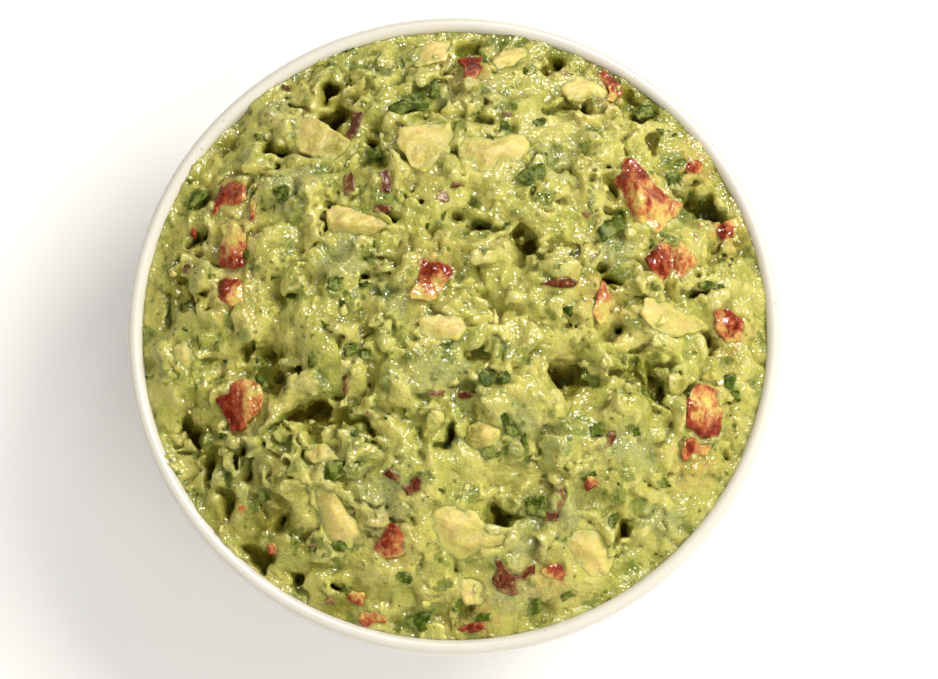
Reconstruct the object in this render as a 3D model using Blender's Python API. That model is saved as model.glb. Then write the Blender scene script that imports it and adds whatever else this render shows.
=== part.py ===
"""A serving of chunky guacamole heaped in a plain round stoneware bowl.

Run with: blender --background --python part.py
Everything is in metres, +Z up, with the origin under the middle of the bowl's foot.
"""

import math
import random

import bmesh
import bpy
from mathutils import Euler, Matrix, Vector, noise

MM = 0.001

# Bowl: an elliptic wall on a turned foot ring, with a rounded lip.
MOUTH_RADIUS = 62.5 * MM
WALL = 3.0 * MM
RIM_HEIGHT = 50.5 * MM
BASE_HEIGHT = 2.5 * MM
FLOOR = 5.0 * MM
FOOT_RADIUS = 29.0 * MM
FOOT_WIDTH = 4.5 * MM
BOWL_SEGMENTS = 64
WALL_STEPS = 7
LIP_STEPS = 4

# Guacamole: the mash fills the bowl and is heaped above the rim.
FIT_GAP = 0.35 * MM
EDGE_HEIGHT = RIM_HEIGHT - 0.5 * MM
FOOD_RADIUS = MOUTH_RADIUS - FIT_GAP
CROWN_HEIGHT = 16.0 * MM
CROWN_POWER = 2.3
LUMP_HEIGHT = 2.6 * MM
LUMP_SIZE = 10.0 * MM
HEAP_RINGS = 16

# Pieces mixed into the mash, and the gap that is left round each.
PIECE_GAP = 0.45 * MM
EDGE_SOFTNESS = 0.20

# Hollows between the lumps of mash: x, y, radius and depth in millimetres.
HOLLOWS = [
    (-24.5, 45.5, 3.4, 5.5),
    (51.0, 25.5, 3.6, 6.0),
    (22.0, -10.5, 4.6, 6.5),
    (22.0, 43.0, 3.4, 3.5),
    (-34.0, -8.0, 4.4, 4.0),
    (10.0, -33.5, 3.4, 3.0),
    (-29.0, -18.5, 4.0, 3.5),
    (5.0, 18.5, 4.2, 3.5),
    (38.5, -12.5, 3.4, 4.0),
    (-52.5, 15.5, 3.2, 3.5),
    (-50.0, -25.0, 4.4, 4.5),
    (34.0, -39.0, 4.0, 3.5),
]

# Cut pieces: x, y, length, width and height in millimetres, then the turn in degrees
# and the share of the height that stands above the mash.
AVOCADO_CHUNKS = [
    (-27.4, 38.0, 12.0, 9.5, 8.0, -35.0, 0.48),
    (-19.4, 18.6, 13.0, 7.5, 7.0, -8.0, 0.55),
    (-7.2, 34.0, 10.5, 11.0, 8.0, 15.0, 0.42),
    (8.8, 33.0, 14.0, 9.0, 7.0, 4.0, 0.38),
    (-5.4, 55.0, 8.5, 7.0, 6.0, 12.0, 0.40),
    (12.8, 55.0, 11.0, 4.4, 5.0, 33.0, 0.45),
    (23.8, 48.4, 7.0, 6.0, 5.5, -10.0, 0.50),
    (42.6, -0.2, 15.0, 8.0, 7.0, 7.0, 0.38),
    (-22.8, -39.5, 9.0, 11.0, 7.0, -25.0, 0.42),
    (0.6, -41.0, 9.0, 10.5, 7.0, 10.0, 0.40),
    (27.2, -46.0, 8.0, 9.0, 6.5, -18.0, 0.45),
    (4.8, -24.7, 6.5, 6.2, 5.5, 8.0, 0.50),
    (-26.2, -27.4, 8.5, 4.6, 5.0, -14.0, 0.40),
    (2.4, -51.6, 6.4, 4.4, 4.5, -6.0, 0.45),
    (-52.6, 4.6, 5.6, 6.2, 5.0, 10.0, 0.42),
    (-2.2, -4.0, 9.5, 6.0, 5.0, 12.0, 0.36),
]
TOMATO_DICE = [
    (-45.2, 26.0, 6.8, 6.0, 5.5, 20.0, 0.45),
    (-43.4, 16.0, 6.0, 8.4, 5.5, 6.0, 0.40),
    (-43.8, 4.6, 6.2, 5.4, 5.0, -10.0, 0.48),
    (-4.0, 8.0, 7.6, 7.6, 5.5, 8.0, 0.40),
    (3.4, 52.2, 4.6, 7.0, 5.5, -6.0, 0.45),
    (31.0, 48.0, 4.2, 6.6, 4.5, -24.0, 0.42),
    (37.6, 26.0, 10.5, 10.5, 8.0, 38.0, 0.45),
    (48.4, 33.4, 4.6, 3.6, 3.8, 30.0, 0.45),
    (42.6, 12.0, 9.8, 7.0, 6.5, -6.0, 0.48),
    (54.4, 18.0, 5.2, 3.6, 4.0, -25.0, 0.45),
    (29.2, 3.2, 4.4, 7.0, 4.8, -12.0, 0.42),
    (54.6, -2.4, 5.4, 6.0, 4.8, 12.0, 0.42),
    (-42.0, -17.4, 8.8, 9.4, 7.0, 18.0, 0.42),
    (-11.6, -44.6, 7.2, 6.0, 5.0, -20.0, 0.42),
    (49.4, -18.0, 7.4, 9.6, 6.5, 6.0, 0.45),
    (47.6, -27.6, 6.0, 4.6, 4.5, 14.0, 0.42),
    (18.2, -51.0, 5.0, 3.6, 4.2, -24.0, 0.42),
    (4.0, -57.6, 5.0, 3.2, 4.0, -4.0, 0.45),
]


def clear_scene():
    for obj in list(bpy.data.objects):
        bpy.data.objects.remove(obj)


def surface_material(name, colour, roughness):
    material = bpy.data.materials.new(name)
    material.use_nodes = True
    shader = material.node_tree.nodes["Principled BSDF"]
    shader.inputs["Base Color"].default_value = (*colour, 1.0)
    shader.inputs["Roughness"].default_value = roughness
    shader.inputs["Metallic"].default_value = 0.0
    return material


def mesh_object(name, bm, material):
    """Turns a bmesh into a smooth-shaded object with one material."""
    mesh = bpy.data.meshes.new(name)
    bm.to_mesh(mesh)
    bm.free()
    mesh.shade_smooth()
    mesh.set_sharp_from_angle(angle=math.radians(40.0))
    mesh.materials.append(material)
    obj = bpy.data.objects.new(name, mesh)
    bpy.context.scene.collection.objects.link(obj)
    return obj


def wall_point(radius, depth, angle):
    """A point (radius, height) on an elliptic wall, with angle 0 at the rim and 90 degrees at the axis."""
    return radius * math.cos(angle), RIM_HEIGHT - depth * math.sin(angle)


def bowl_profile():
    """The bowl's section from the underside's middle, round the foot, wall and lip, to the middle inside."""
    outer_radius = MOUTH_RADIUS + WALL
    outer_depth = RIM_HEIGHT - BASE_HEIGHT
    foot_angle = math.acos(FOOT_RADIUS / outer_radius)
    points = [
        (0.0, BASE_HEIGHT),
        (FOOT_RADIUS - FOOT_WIDTH, BASE_HEIGHT),
        (FOOT_RADIUS - FOOT_WIDTH, 0.0),
        (FOOT_RADIUS, 0.0),
    ]
    for step in range(WALL_STEPS + 1):
        angle = foot_angle * (1.0 - step / WALL_STEPS)
        points.append(wall_point(outer_radius, outer_depth, angle))
    lip_middle = MOUTH_RADIUS + WALL / 2.0
    for step in range(1, LIP_STEPS):
        angle = math.pi * step / LIP_STEPS
        points.append(
            (
                lip_middle + WALL / 2.0 * math.cos(angle),
                RIM_HEIGHT + WALL / 2.0 * math.sin(angle),
            )
        )
    for step in range(WALL_STEPS + 1):
        angle = math.pi / 2.0 * step / WALL_STEPS
        points.append(wall_point(MOUTH_RADIUS, outer_depth - FLOOR, angle))
    return points


def make_bowl(material):
    bm = bmesh.new()
    verts = [bm.verts.new((radius, 0.0, height)) for radius, height in bowl_profile()]
    edges = [bm.edges.new(pair) for pair in zip(verts, verts[1:])]
    bmesh.ops.spin(
        bm,
        geom=verts + edges,
        cent=(0.0, 0.0, 0.0),
        axis=(0.0, 0.0, 1.0),
        angle=math.tau,
        steps=BOWL_SEGMENTS,
        use_merge=True,
    )
    bmesh.ops.remove_doubles(bm, verts=bm.verts, dist=0.01 * MM)
    bmesh.ops.recalc_face_normals(bm, faces=bm.faces)
    return mesh_object("bowl", bm, material)


def heap_height(x, y):
    """Height of the mash's top at a place in the bowl: the crown, its lumps and its hollows."""
    share = min(math.hypot(x, y) / FOOD_RADIUS, 1.0)
    crown = CROWN_HEIGHT * (1.0 - share**CROWN_POWER)
    lumps = LUMP_HEIGHT * noise.fractal((x / LUMP_SIZE, y / LUMP_SIZE, 3.7), 0.9, 2.0, 3)
    hollows = sum(
        depth * MM * math.exp(-(((x / MM - hx) ** 2 + (y / MM - hy) ** 2) / radius**2))
        for hx, hy, radius, depth in HOLLOWS
    )
    shaped = (1.0 - share**6) * (lumps - hollows)
    return EDGE_HEIGHT + crown + shaped


def heap_slope(x, y):
    """The upward normal of the crown without its lumps, for laying a piece on it."""
    share = max(math.hypot(x, y) / FOOD_RADIUS, 1e-6)
    fall = CROWN_HEIGHT * CROWN_POWER * share ** (CROWN_POWER - 1.0) / FOOD_RADIUS
    return Vector((fall * x / (share * FOOD_RADIUS), fall * y / (share * FOOD_RADIUS), 1.0)).normalized()


def ring_of(bm, count, radius, height_of):
    """A ring of vertices, each at the height that height_of gives for its place."""
    verts = []
    for index in range(count):
        angle = math.tau * index / count
        x, y = radius * math.cos(angle), radius * math.sin(angle)
        verts.append(bm.verts.new((x, y, height_of(x, y))))
    return verts


def join_rings(bm, outer, inner):
    """Triangles between a ring and the next one in, which may have fewer vertices."""
    a, b = 0, 0
    while a < len(outer) or b < len(inner):
        next_a, next_b = (a + 1) / len(outer), (b + 1) / len(inner)
        if next_a <= next_b:
            bm.faces.new((outer[a % len(outer)], outer[(a + 1) % len(outer)], inner[b % len(inner)]))
            a += 1
        else:
            bm.faces.new((outer[a % len(outer)], inner[(b + 1) % len(inner)], inner[b % len(inner)]))
            b += 1


def make_heap(material):
    """The mash: a lumpy heap on top, and the bowl's inner shape below."""
    bm = bmesh.new()
    rings = [
        ring_of(bm, 6 * ring, FOOD_RADIUS * ring / HEAP_RINGS, heap_height)
        for ring in range(HEAP_RINGS, 0, -1)
    ]
    for outer, inner in zip(rings, rings[1:]):
        join_rings(bm, outer, inner)
    middle = bm.verts.new((0.0, 0.0, heap_height(0.0, 0.0)))
    innermost = rings[-1]
    for index, vert in enumerate(innermost):
        bm.faces.new((vert, innermost[(index + 1) % len(innermost)], middle))
    inner_depth = RIM_HEIGHT - BASE_HEIGHT - FLOOR - FIT_GAP
    above = rings[0]
    for step in range(1, WALL_STEPS):
        radius, height = wall_point(FOOD_RADIUS, inner_depth, math.pi / 2.0 * step / WALL_STEPS)
        below = ring_of(bm, len(above), radius, lambda x, y, height=height: height)
        for index in range(len(above)):
            after = (index + 1) % len(above)
            bm.faces.new((below[index], below[after], above[after], above[index]))
        above = below
    bm.faces.new(list(reversed(above)))
    bmesh.ops.recalc_face_normals(bm, faces=bm.faces)
    return mesh_object("guacamole", bm, material)


def chunk_bmesh(size, seed):
    """A knife-cut block with unequal corners and soft edges, centred on its own origin."""
    draw = random.Random(seed)
    bm = bmesh.new()
    bmesh.ops.create_cube(bm, size=1.0)
    for vert in bm.verts:
        vert.co = Vector(
            corner * length * draw.uniform(0.76, 1.0)
            for corner, length in zip(vert.co, size)
        )
    bmesh.ops.bevel(
        bm,
        geom=list(bm.edges),
        offset=min(size) * EDGE_SOFTNESS,
        offset_type="OFFSET",
        segments=1,
        profile=0.5,
        affect="EDGES",
    )
    bmesh.ops.triangulate(bm, faces=bm.faces)
    return bm


def make_chunk(name, placing, seed, material, cutters):
    """One cut piece lying in the mash, and the slightly larger cutter that makes room for it."""
    x, y, length, width, height, turn, proud = placing
    size = (length * MM, width * MM, height * MM)
    x, y = x * MM, y * MM
    draw = random.Random(seed)
    lean = Euler((draw.uniform(-0.12, 0.12), draw.uniform(-0.12, 0.12), math.radians(turn)))
    upright = Vector((0.0, 0.0, 1.0))
    lay = upright.rotation_difference(heap_slope(x, y)).to_matrix() @ lean.to_matrix()
    middle = heap_height(x, y) + height * MM * (proud - 0.5)
    place = Matrix.Translation((x, y, middle)) @ lay.to_4x4()
    piece = mesh_object(name, chunk_bmesh(size, seed), material)
    piece.matrix_world = place
    roomy = tuple(side + 2.0 * PIECE_GAP for side in size)
    cutter = mesh_object(name + "_room", chunk_bmesh(roomy, seed), material)
    cutter.matrix_world = place
    cutter.hide_render = True
    cutter.display_type = "WIRE"
    bpy.context.scene.collection.objects.unlink(cutter)
    cutters.objects.link(cutter)
    return piece


def cut_rooms(heap, cutters):
    modifier = heap.modifiers.new("rooms_for_pieces", "BOOLEAN")
    modifier.operation = "DIFFERENCE"
    modifier.operand_type = "COLLECTION"
    modifier.collection = cutters
    modifier.solver = "EXACT"


def main():
    clear_scene()
    stoneware = surface_material("glazed_stoneware", (0.86, 0.84, 0.80), 0.3)
    mash = surface_material("avocado_mash", (0.50, 0.53, 0.16), 0.45)
    flesh = surface_material("avocado_flesh", (0.78, 0.67, 0.25), 0.4)
    tomato = surface_material("tomato_flesh", (0.55, 0.07, 0.03), 0.3)
    cutters = bpy.data.collections.new("rooms")
    bpy.context.scene.collection.children.link(cutters)
    make_bowl(stoneware)
    heap = make_heap(mash)
    for index, placing in enumerate(AVOCADO_CHUNKS, start=1):
        make_chunk(f"avocado_chunk_{index:02d}", placing, 100 + index, flesh, cutters)
    for index, placing in enumerate(TOMATO_DICE, start=1):
        make_chunk(f"tomato_dice_{index:02d}", placing, 200 + index, tomato, cutters)
    cut_rooms(heap, cutters)


main()
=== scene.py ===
"""Looks of a bowl of chunky guacamole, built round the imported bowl, mash, avocado chunks and tomato dice.

Lengths in the tables are millimetres, and x and y are measured from the bowl's axis. Everything that
is placed is in metres, in the frame's own axes.
"""

import math
import random

import bmesh
import bpy
import numpy as np
from mathutils import Matrix, Vector, noise
from mathutils.bvhtree import BVHTree
from mathutils.geometry import delaunay_2d_cdt


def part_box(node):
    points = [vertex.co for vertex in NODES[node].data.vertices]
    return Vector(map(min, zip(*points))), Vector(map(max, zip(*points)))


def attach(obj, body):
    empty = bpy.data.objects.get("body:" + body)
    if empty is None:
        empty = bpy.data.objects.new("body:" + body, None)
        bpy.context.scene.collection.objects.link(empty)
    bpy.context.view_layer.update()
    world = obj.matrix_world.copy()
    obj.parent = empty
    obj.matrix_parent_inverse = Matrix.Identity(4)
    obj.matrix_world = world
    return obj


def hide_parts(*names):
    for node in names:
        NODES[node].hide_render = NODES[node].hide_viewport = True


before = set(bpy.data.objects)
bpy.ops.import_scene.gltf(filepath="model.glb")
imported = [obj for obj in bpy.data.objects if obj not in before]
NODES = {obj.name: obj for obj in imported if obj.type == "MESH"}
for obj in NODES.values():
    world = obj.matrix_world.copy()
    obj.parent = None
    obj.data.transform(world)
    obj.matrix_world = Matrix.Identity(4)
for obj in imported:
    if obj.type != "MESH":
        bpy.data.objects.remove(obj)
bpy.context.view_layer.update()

MM = 0.001
BODY = "root"
CHUNKS = sorted(name for name in NODES if name.startswith("avocado_chunk"))
DICE = sorted(name for name in NODES if name.startswith("tomato_dice"))
BOWL_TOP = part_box("bowl")[1]
MASH_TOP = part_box("guacamole")[1]

# The bowl's section.
WALL = 3.0 * MM
OUTER_RADIUS = BOWL_TOP.x
MOUTH_RADIUS = OUTER_RADIUS - WALL
RIM_HEIGHT = BOWL_TOP.z - WALL / 2.0
BASE_HEIGHT = 2.5 * MM
FLOOR = 5.0 * MM
FOOT_RADIUS = 29.0 * MM
FOOT_WIDTH = 4.5 * MM
FOOT_SOFTNESS = 0.7 * MM
BOWL_SEGMENTS = 160
WALL_STEPS = 26
LIP_STEPS = 10

# The sheet that carries the heap's height, and the volume that is filled up to it.
SHEET_STEP = 0.5 * MM
SHEET_MARGIN = 4.0 * MM
VOLUME_DEPTH = 9.0 * MM
VOLUME_HEADROOM = 5.0 * MM
VOXEL = 0.60 * MM
ADAPTIVITY = 0.10
SMOOTHING = 1
WALL_BITE = 0.5 * MM
# Sizes in millimetres of the mash's large lumps and of the knobs on them.
LUMP = 8.0
KNOB = 3.9
LONG_FOLD = 7.5
SHORT_FOLD = 4.4

# Holes torn between lumps: x, y, half length, half width, turn in degrees, depth.
HOLES = [
    (-24.6, 41.6, 3.0, 2.4, 40.0, 7.0),
    (-25.8, 49.5, 3.6, 1.7, 85.0, 6.0),
    (50.4, 24.3, 4.4, 2.2, -25.0, 8.0),
    (23.5, 44.6, 4.4, 1.2, 8.0, 6.0),
    (32.0, 26.4, 1.3, 1.5, 0.0, 6.0),
    (31.8, 20.6, 1.2, 1.8, 10.0, 6.0),
    (3.9, 17.6, 3.8, 1.8, 0.0, 5.0),
    (14.2, 13.4, 1.3, 3.4, 0.0, 4.0),
    (31.7, 6.6, 2.0, 1.6, 0.0, 5.0),
    (15.2, 24.2, 1.8, 1.2, 20.0, 4.0),
    (20.6, 54.4, 1.4, 2.2, 0.0, 5.0),
    (2.9, 58.0, 2.4, 2.2, 0.0, 4.0),
    (20.2, -12.0, 1.3, 2.6, -25.0, 3.6),
    (21.4, -12.8, 2.4, 3.0, -25.0, 2.0),
    (23.4, -14.2, 3.6, 3.0, -30.0, 1.8),
    (38.6, -12.6, 1.4, 3.6, 0.0, 5.0),
    (31.2, -3.4, 1.3, 1.5, 0.0, 5.0),
    (31.2, -11.4, 1.7, 0.7, 10.0, 3.0),
    (8.0, -38.6, 2.2, 1.2, -35.0, 5.5),
    (11.4, -39.2, 2.6, 0.9, 12.0, 4.0),
    (33.6, -40.6, 1.6, 1.3, 0.0, 4.5),
    (-1.5, -24.8, 1.1, 2.0, -38.0, 6.0),
    (6.4, -9.2, 1.3, 1.0, 0.0, 3.5),
    (-12.6, 19.0, 2.4, 0.9, -6.0, 5.5),
    (-24.9, 17.6, 0.7, 2.4, 4.0, 5.0),
    (-24.4, 22.2, 1.3, 0.8, -10.0, 4.5),
    (-52.2, 17.2, 1.1, 3.4, -6.0, 5.0),
    (-57.8, 3.0, 0.9, 3.6, -4.0, 5.0),
    (-35.6, -10.6, 1.9, 5.4, 2.0, 4.5),
    (-40.2, -6.6, 1.5, 1.8, 0.0, 4.0),
    (-51.2, -22.6, 1.1, 4.8, 22.0, 5.0),
    (-48.0, -29.4, 0.9, 2.6, 8.0, 5.0),
    (-42.4, -26.8, 0.8, 1.9, 18.0, 4.5),
    (-28.4, -18.6, 4.4, 1.5, 4.0, 5.0),
    (-19.4, -20.6, 3.8, 1.1, -18.0, 5.0),
    (-37.4, -47.4, 1.6, 1.6, 0.0, 4.5),
    (-22.4, -52.4, 1.2, 1.0, 0.0, 4.0),
    (-0.2, -49.4, 0.7, 1.1, 10.0, 3.5),
    (-15.8, 34.0, 1.5, 3.4, 20.0, 4.5),
    (-50.6, 25.4, 1.7, 1.5, 0.0, 4.0),
    (48.8, 4.8, 1.4, 0.9, -30.0, 4.0),
    (38.2, 43.6, 2.6, 1.4, 30.0, 3.5),
    (-36.2, 35.4, 2.8, 0.9, -25.0, 4.5),
    (35.0, 48.6, 2.8, 1.0, -35.0, 3.5),
    (-44.4, -36.0, 1.6, 3.4, 25.0, 4.0),
    (-33.2, -40.6, 1.4, 2.4, -20.0, 4.0),
    (-39.6, -45.0, 2.4, 1.2, -30.0, 4.0),
    (-30.4, -50.0, 1.2, 2.2, 30.0, 3.5),
    (-18.6, -8.2, 2.0, 1.3, 0.0, 3.5),
    (54.0, -27.0, 1.2, 1.6, 0.0, 3.5),
]

# The cut faces that show: how much of the face is green or smeared over, which way that grows in degrees
# (None: towards the middle), the outline, and places inside it. A third number lifts or sinks a place.
CUTS = {
    "avocado_chunk_01": (0.5, -40.0, [
        (-31.9, 43.4), (-28.1, 42.1, 1.2), (-24.6, 39.4, 1.4), (-21.7, 36.8, 1.0), (-20.3, 34.8),
        (-24.4, 31.7), (-28.0, 32.6), (-31.3, 34.0), (-33.0, 39.3),
    ], [(-26.0, 38.0, 1.0)]),
    "avocado_chunk_02": (0.34, -82.0, [
        (-25.4, 20.7, 0.6), (-24.3, 21.8, 0.6), (-20.7, 21.4, 0.6), (-16.6, 19.3, 0.6), (-11.6, 17.0, 0.2),
        (-14.6, 15.2, -1.6), (-17.8, 14.0, -2.4), (-22.6, 13.8, -2.6), (-25.0, 15.4, -2.2),
    ], [(-24.6, 18.2, 1.4), (-20.0, 17.4, 1.6), (-15.4, 16.8, 1.0)]),
    "avocado_chunk_03": (0.42, -60.0, [
        (-11.2, 37.8, 0.5), (-7.6, 38.8, 0.5), (-4.6, 40.0, 0.4), (-0.9, 39.4), (0.6, 36.2, -0.6),
        (-1.0, 32.8, -1.2), (-3.4, 30.2, -1.6), (-6.0, 28.2, -1.4), (-8.6, 29.0, -0.8), (-9.8, 31.6),
        (-11.5, 34.1, 0.3),
    ], [(-8.0, 35.8, 1.2), (-4.2, 35.4, 0.6), (-6.4, 32.0, 0.5)]),
    "avocado_chunk_04": (0.36, -140.0, [
        (0.6, 35.8, -0.4), (4.2, 36.8), (9.0, 36.4, 0.3), (13.8, 37.4, 0.3), (15.0, 34.0), (14.3, 31.2, -0.4),
        (10.4, 29.8, -1.0), (7.6, 26.6, -1.4), (3.8, 27.8, -1.4), (0.6, 31.4, -1.0),
    ], [(10.4, 34.4, 1.2), (5.6, 33.0, 0.7), (6.6, 29.8, 0.3)]),
    "avocado_chunk_05": (0.16, -150.0, [
        (-6.9, 59.8), (-1.0, 60.2), (-0.8, 57.4), (-2.0, 55.0), (-5.0, 53.8), (-8.3, 53.0), (-8.2, 56.0),
    ], [(-4.0, 57.4, 0.6)]),
    "avocado_chunk_06": (0.0, 0.0, [
        (7.7, 54.6), (9.4, 57.2), (11.4, 59.2), (15.6, 58.4), (14.4, 56.6), (11.8, 54.4), (9.0, 52.8),
    ], [(11.4, 56.4, 1.0)]),
    "avocado_chunk_07": (0.1, -120.0, [
        (22.0, 51.4), (25.0, 52.3), (29.4, 51.0), (31.2, 48.7), (30.5, 46.6), (27.7, 47.4), (26.0, 45.9),
        (23.0, 46.2), (21.7, 48.5),
    ], [(25.0, 49.6, 1.4), (29.0, 49.2, 1.2)]),
    "avocado_chunk_08": (0.4, 30.0, [
        (37.3, 3.0), (40.4, 3.6), (44.5, 1.8), (49.4, 0.4), (50.4, -1.7), (46.5, -3.1), (42.2, -4.4),
        (38.6, -3.0), (36.6, 0.0),
    ], [(42.4, -0.8, 0.5)]),
    "avocado_chunk_09": (0.3, 120.0, [
        (-26.8, -33.4, -0.8), (-23.1, -34.7, -0.6), (-21.2, -37.8, -0.6), (-18.4, -40.6, -0.4),
        (-17.2, -43.2, -0.6), (-20.0, -45.6, -1.0), (-24.4, -45.0, -1.0), (-26.2, -40.9, -0.8),
        (-27.2, -36.5, -0.8),
    ], [(-23.6, -38.0, 1.1), (-21.0, -42.4, 1.5)]),
    "avocado_chunk_10": (0.34, -100.0, [
        (-4.6, -39.6), (-2.4, -38.0), (0.8, -37.4), (3.9, -39.0), (6.8, -42.1), (11.2, -43.4, -0.3),
        (10.4, -46.0, -0.8), (6.4, -46.4, -0.8), (1.4, -47.6, -1.2), (-2.2, -47.2, -1.2),
        (-3.7, -43.8, -0.6), (-4.9, -41.6),
    ], [(0.4, -41.4, 1.0), (7.4, -44.0, 0.6), (1.0, -45.0, 0.2)]),
    "avocado_chunk_11": (0.3, 110.0, [
        (21.6, -42.4, -0.8), (24.2, -41.2, -1.0), (27.0, -41.4, -1.0), (29.6, -42.4, -0.6),
        (31.4, -44.6), (31.2, -47.1), (29.4, -49.9), (27.2, -51.4), (24.6, -49.6, -0.2),
        (22.8, -47.2, -0.6), (21.4, -44.8, -0.8),
    ], [(28.0, -46.4, 1.6), (24.8, -45.0, 0.8)]),
    "avocado_chunk_12": (0.5, 200.0, [
        (2.0, -25.4, -0.8), (2.6, -23.0, -0.7), (4.6, -21.8, -0.6), (7.4, -22.2, -0.7), (9.0, -23.6, -0.8),
        (8.2, -25.6, -0.8), (9.0, -27.4, -1.0), (6.6, -27.0, -0.8), (4.8, -28.4, -1.0), (3.6, -26.8, -0.8),
    ], [(5.6, -24.4, 1.4)]),
    "avocado_chunk_13": (0.3, 90.0, [
        (-29.0, -27.5), (-27.4, -25.7), (-24.5, -26.1), (-21.8, -29.2), (-24.5, -29.9), (-27.2, -29.5),
    ], [(-25.8, -27.8, 0.5)]),
    "avocado_chunk_14": (0.0, 90.0, [
        (0.6, -51.4), (3.4, -51.0), (6.2, -52.5), (6.0, -54.8), (5.1, -56.0), (2.4, -55.6), (0.3, -54.0),
    ], [(3.2, -53.4, 0.8)]),
    "avocado_chunk_15": (0.3, -90.0, [
        (-56.0, -5.0), (-53.4, -3.9), (-50.9, -5.4), (-51.0, -8.0), (-53.4, -9.6), (-55.8, -8.2),
    ], [(-53.4, -6.6, 1.0)]),
    "avocado_chunk_16": (0.4, -90.0, [
        (-6.5, -2.2), (-3.0, -1.1), (1.0, -1.5), (2.6, -3.8), (0.5, -6.2), (-4.0, -6.8), (-6.9, -5.0),
    ], [(-2.2, -3.8, 0.9)]),
    "tomato_dice_01": (0.1, 0.0, [
        (-48.3, 25.2), (-47.2, 28.4), (-44.0, 28.9), (-42.3, 27.9), (-41.5, 24.8), (-43.1, 23.1),
        (-45.6, 24.1), (-48.2, 22.0), (-49.6, 23.3),
    ], [(-45.0, 26.2, 0.9)]),
    "tomato_dice_02": (0.62, 100.0, [
        (-46.8, 19.5), (-44.0, 20.2), (-41.6, 18.5), (-41.1, 16.0), (-41.8, 12.5), (-41.5, 10.0),
        (-44.0, 9.4), (-46.4, 10.5), (-46.8, 14.0), (-46.0, 17.0),
    ], [(-44.0, 16.8, 0.9), (-44.2, 12.0, 0.7)]),
    "tomato_dice_03": (0.22, -20.0, [
        (-46.7, 7.2), (-45.4, 8.1), (-42.2, 7.4), (-41.3, 5.0), (-41.5, 2.5), (-43.8, 1.8), (-46.0, 2.9),
        (-46.9, 5.0),
    ], [(-44.2, 5.2, 0.8)]),
    "tomato_dice_04": (0.36, -95.0, [
        (-7.7, 9.4), (-6.9, 10.4), (-5.6, 10.3), (-4.6, 9.3), (-2.4, 9.2), (-0.2, 8.5), (-0.1, 7.6),
        (-1.8, 5.2), (-2.6, 2.2), (-5.0, 1.6), (-8.4, 1.8), (-9.0, 2.8), (-6.9, 5.2), (-6.6, 7.6),
    ], [(-4.4, 7.4, 0.6)]),
    "tomato_dice_05": (0.05, -90.0, [
        (0.6, 55.1, 0.8), (3.0, 55.7, 0.8), (5.4, 55.6, 0.8), (4.9, 54.4, 0.8), (5.9, 52.8, 0.8),
        (4.7, 50.8, 0.6), (3.2, 48.7, 0.4), (2.0, 50.5, 0.6), (2.0, 52.8, 0.8),
    ], [(3.6, 53.2, 1.2)]),
    "tomato_dice_06": (0.4, -120.0, [
        (29.2, 53.1), (30.7, 53.7), (32.9, 51.4), (34.2, 49.9), (33.2, 49.3), (34.2, 48.4),
        (32.2, 46.0), (30.8, 46.2), (31.6, 48.4), (31.2, 50.0), (29.4, 51.4),
    ], [(32.0, 50.4, 0.5)]),
    "tomato_dice_07": (0.36, -75.0, [
        (34.0, 32.8, -0.4), (36.4, 32.4, 0.8), (38.4, 29.6, 0.6), (41.2, 26.4, 0.6), (45.5, 23.8, 0.2),
        (43.4, 20.4), (40.2, 17.0), (37.0, 18.6), (34.6, 17.6, -1.5), (33.4, 22.0, -2.0),
        (31.8, 27.9, -1.5), (33.4, 30.6, -1.0),
    ], [(36.2, 27.2, 2.4), (36.6, 23.0, 2.6), (40.4, 23.2, 1.8)]),
    "tomato_dice_08": (0.2, -60.0, [
        (46.5, 32.0), (47.5, 33.6), (48.8, 34.4), (50.1, 34.1), (50.5, 33.0), (49.6, 31.7), (47.6, 31.2),
    ], [(48.6, 32.8, 0.6)]),
    "tomato_dice_09": (0.26, 10.0, [
        (37.4, 11.6), (39.4, 13.6), (41.0, 15.4), (43.0, 15.0, -0.6), (44.8, 15.9), (47.4, 14.0),
        (48.2, 12.0), (46.6, 9.2), (44.4, 7.8), (43.0, 9.4, -0.6), (42.4, 8.0), (40.6, 7.0), (39.0, 8.8),
    ], [(40.8, 11.4, 1.7), (43.0, 12.4, -0.4), (45.2, 12.2, 1.5)]),
    "tomato_dice_10": (0.4, 60.0, [
        (52.4, 19.2), (54.8, 21.5), (57.0, 22.4), (57.4, 20.8), (55.8, 18.5), (53.6, 17.0),
    ], [(55.0, 19.8, 0.6)]),
    "tomato_dice_11": (0.7, -60.0, [
        (29.2, 6.1), (30.4, 4.7), (30.9, 2.2), (29.9, -1.7), (28.5, -2.1), (26.9, 0.0), (27.7, 2.6),
    ], [(29.0, 1.8, 0.8)]),
    "tomato_dice_12": (0.34, -90.0, [
        (51.3, 1.8), (52.6, 2.4), (54.7, 2.2), (57.4, 0.4), (57.0, -3.6), (54.0, -4.0), (52.2, -2.0),
        (51.8, 0.2),
    ], [(54.4, -0.8, 0.5)]),
    "tomato_dice_13": (0.34, 12.0, [
        (-46.9, -15.8), (-43.9, -14.4), (-43.6, -13.2), (-41.8, -12.5), (-39.3, -12.4), (-38.2, -13.6),
        (-37.3, -15.7), (-37.6, -18.2), (-38.3, -19.4), (-41.6, -22.4), (-43.4, -22.6), (-44.9, -19.3),
    ], [(-42.4, -17.0, 0.6), (-39.8, -16.6, 0.9)]),
    "tomato_dice_14": (0.32, -60.0, [
        (-12.4, -41.0), (-11.4, -41.2), (-9.8, -43.6), (-8.6, -46.2, -0.3), (-10.6, -47.2, -0.4),
        (-13.6, -47.6, -0.2), (-16.2, -46.6), (-14.6, -44.4), (-13.2, -42.6),
    ], [(-12.0, -44.8, 0.6)]),
    "tomato_dice_15": (0.42, None, [
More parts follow.
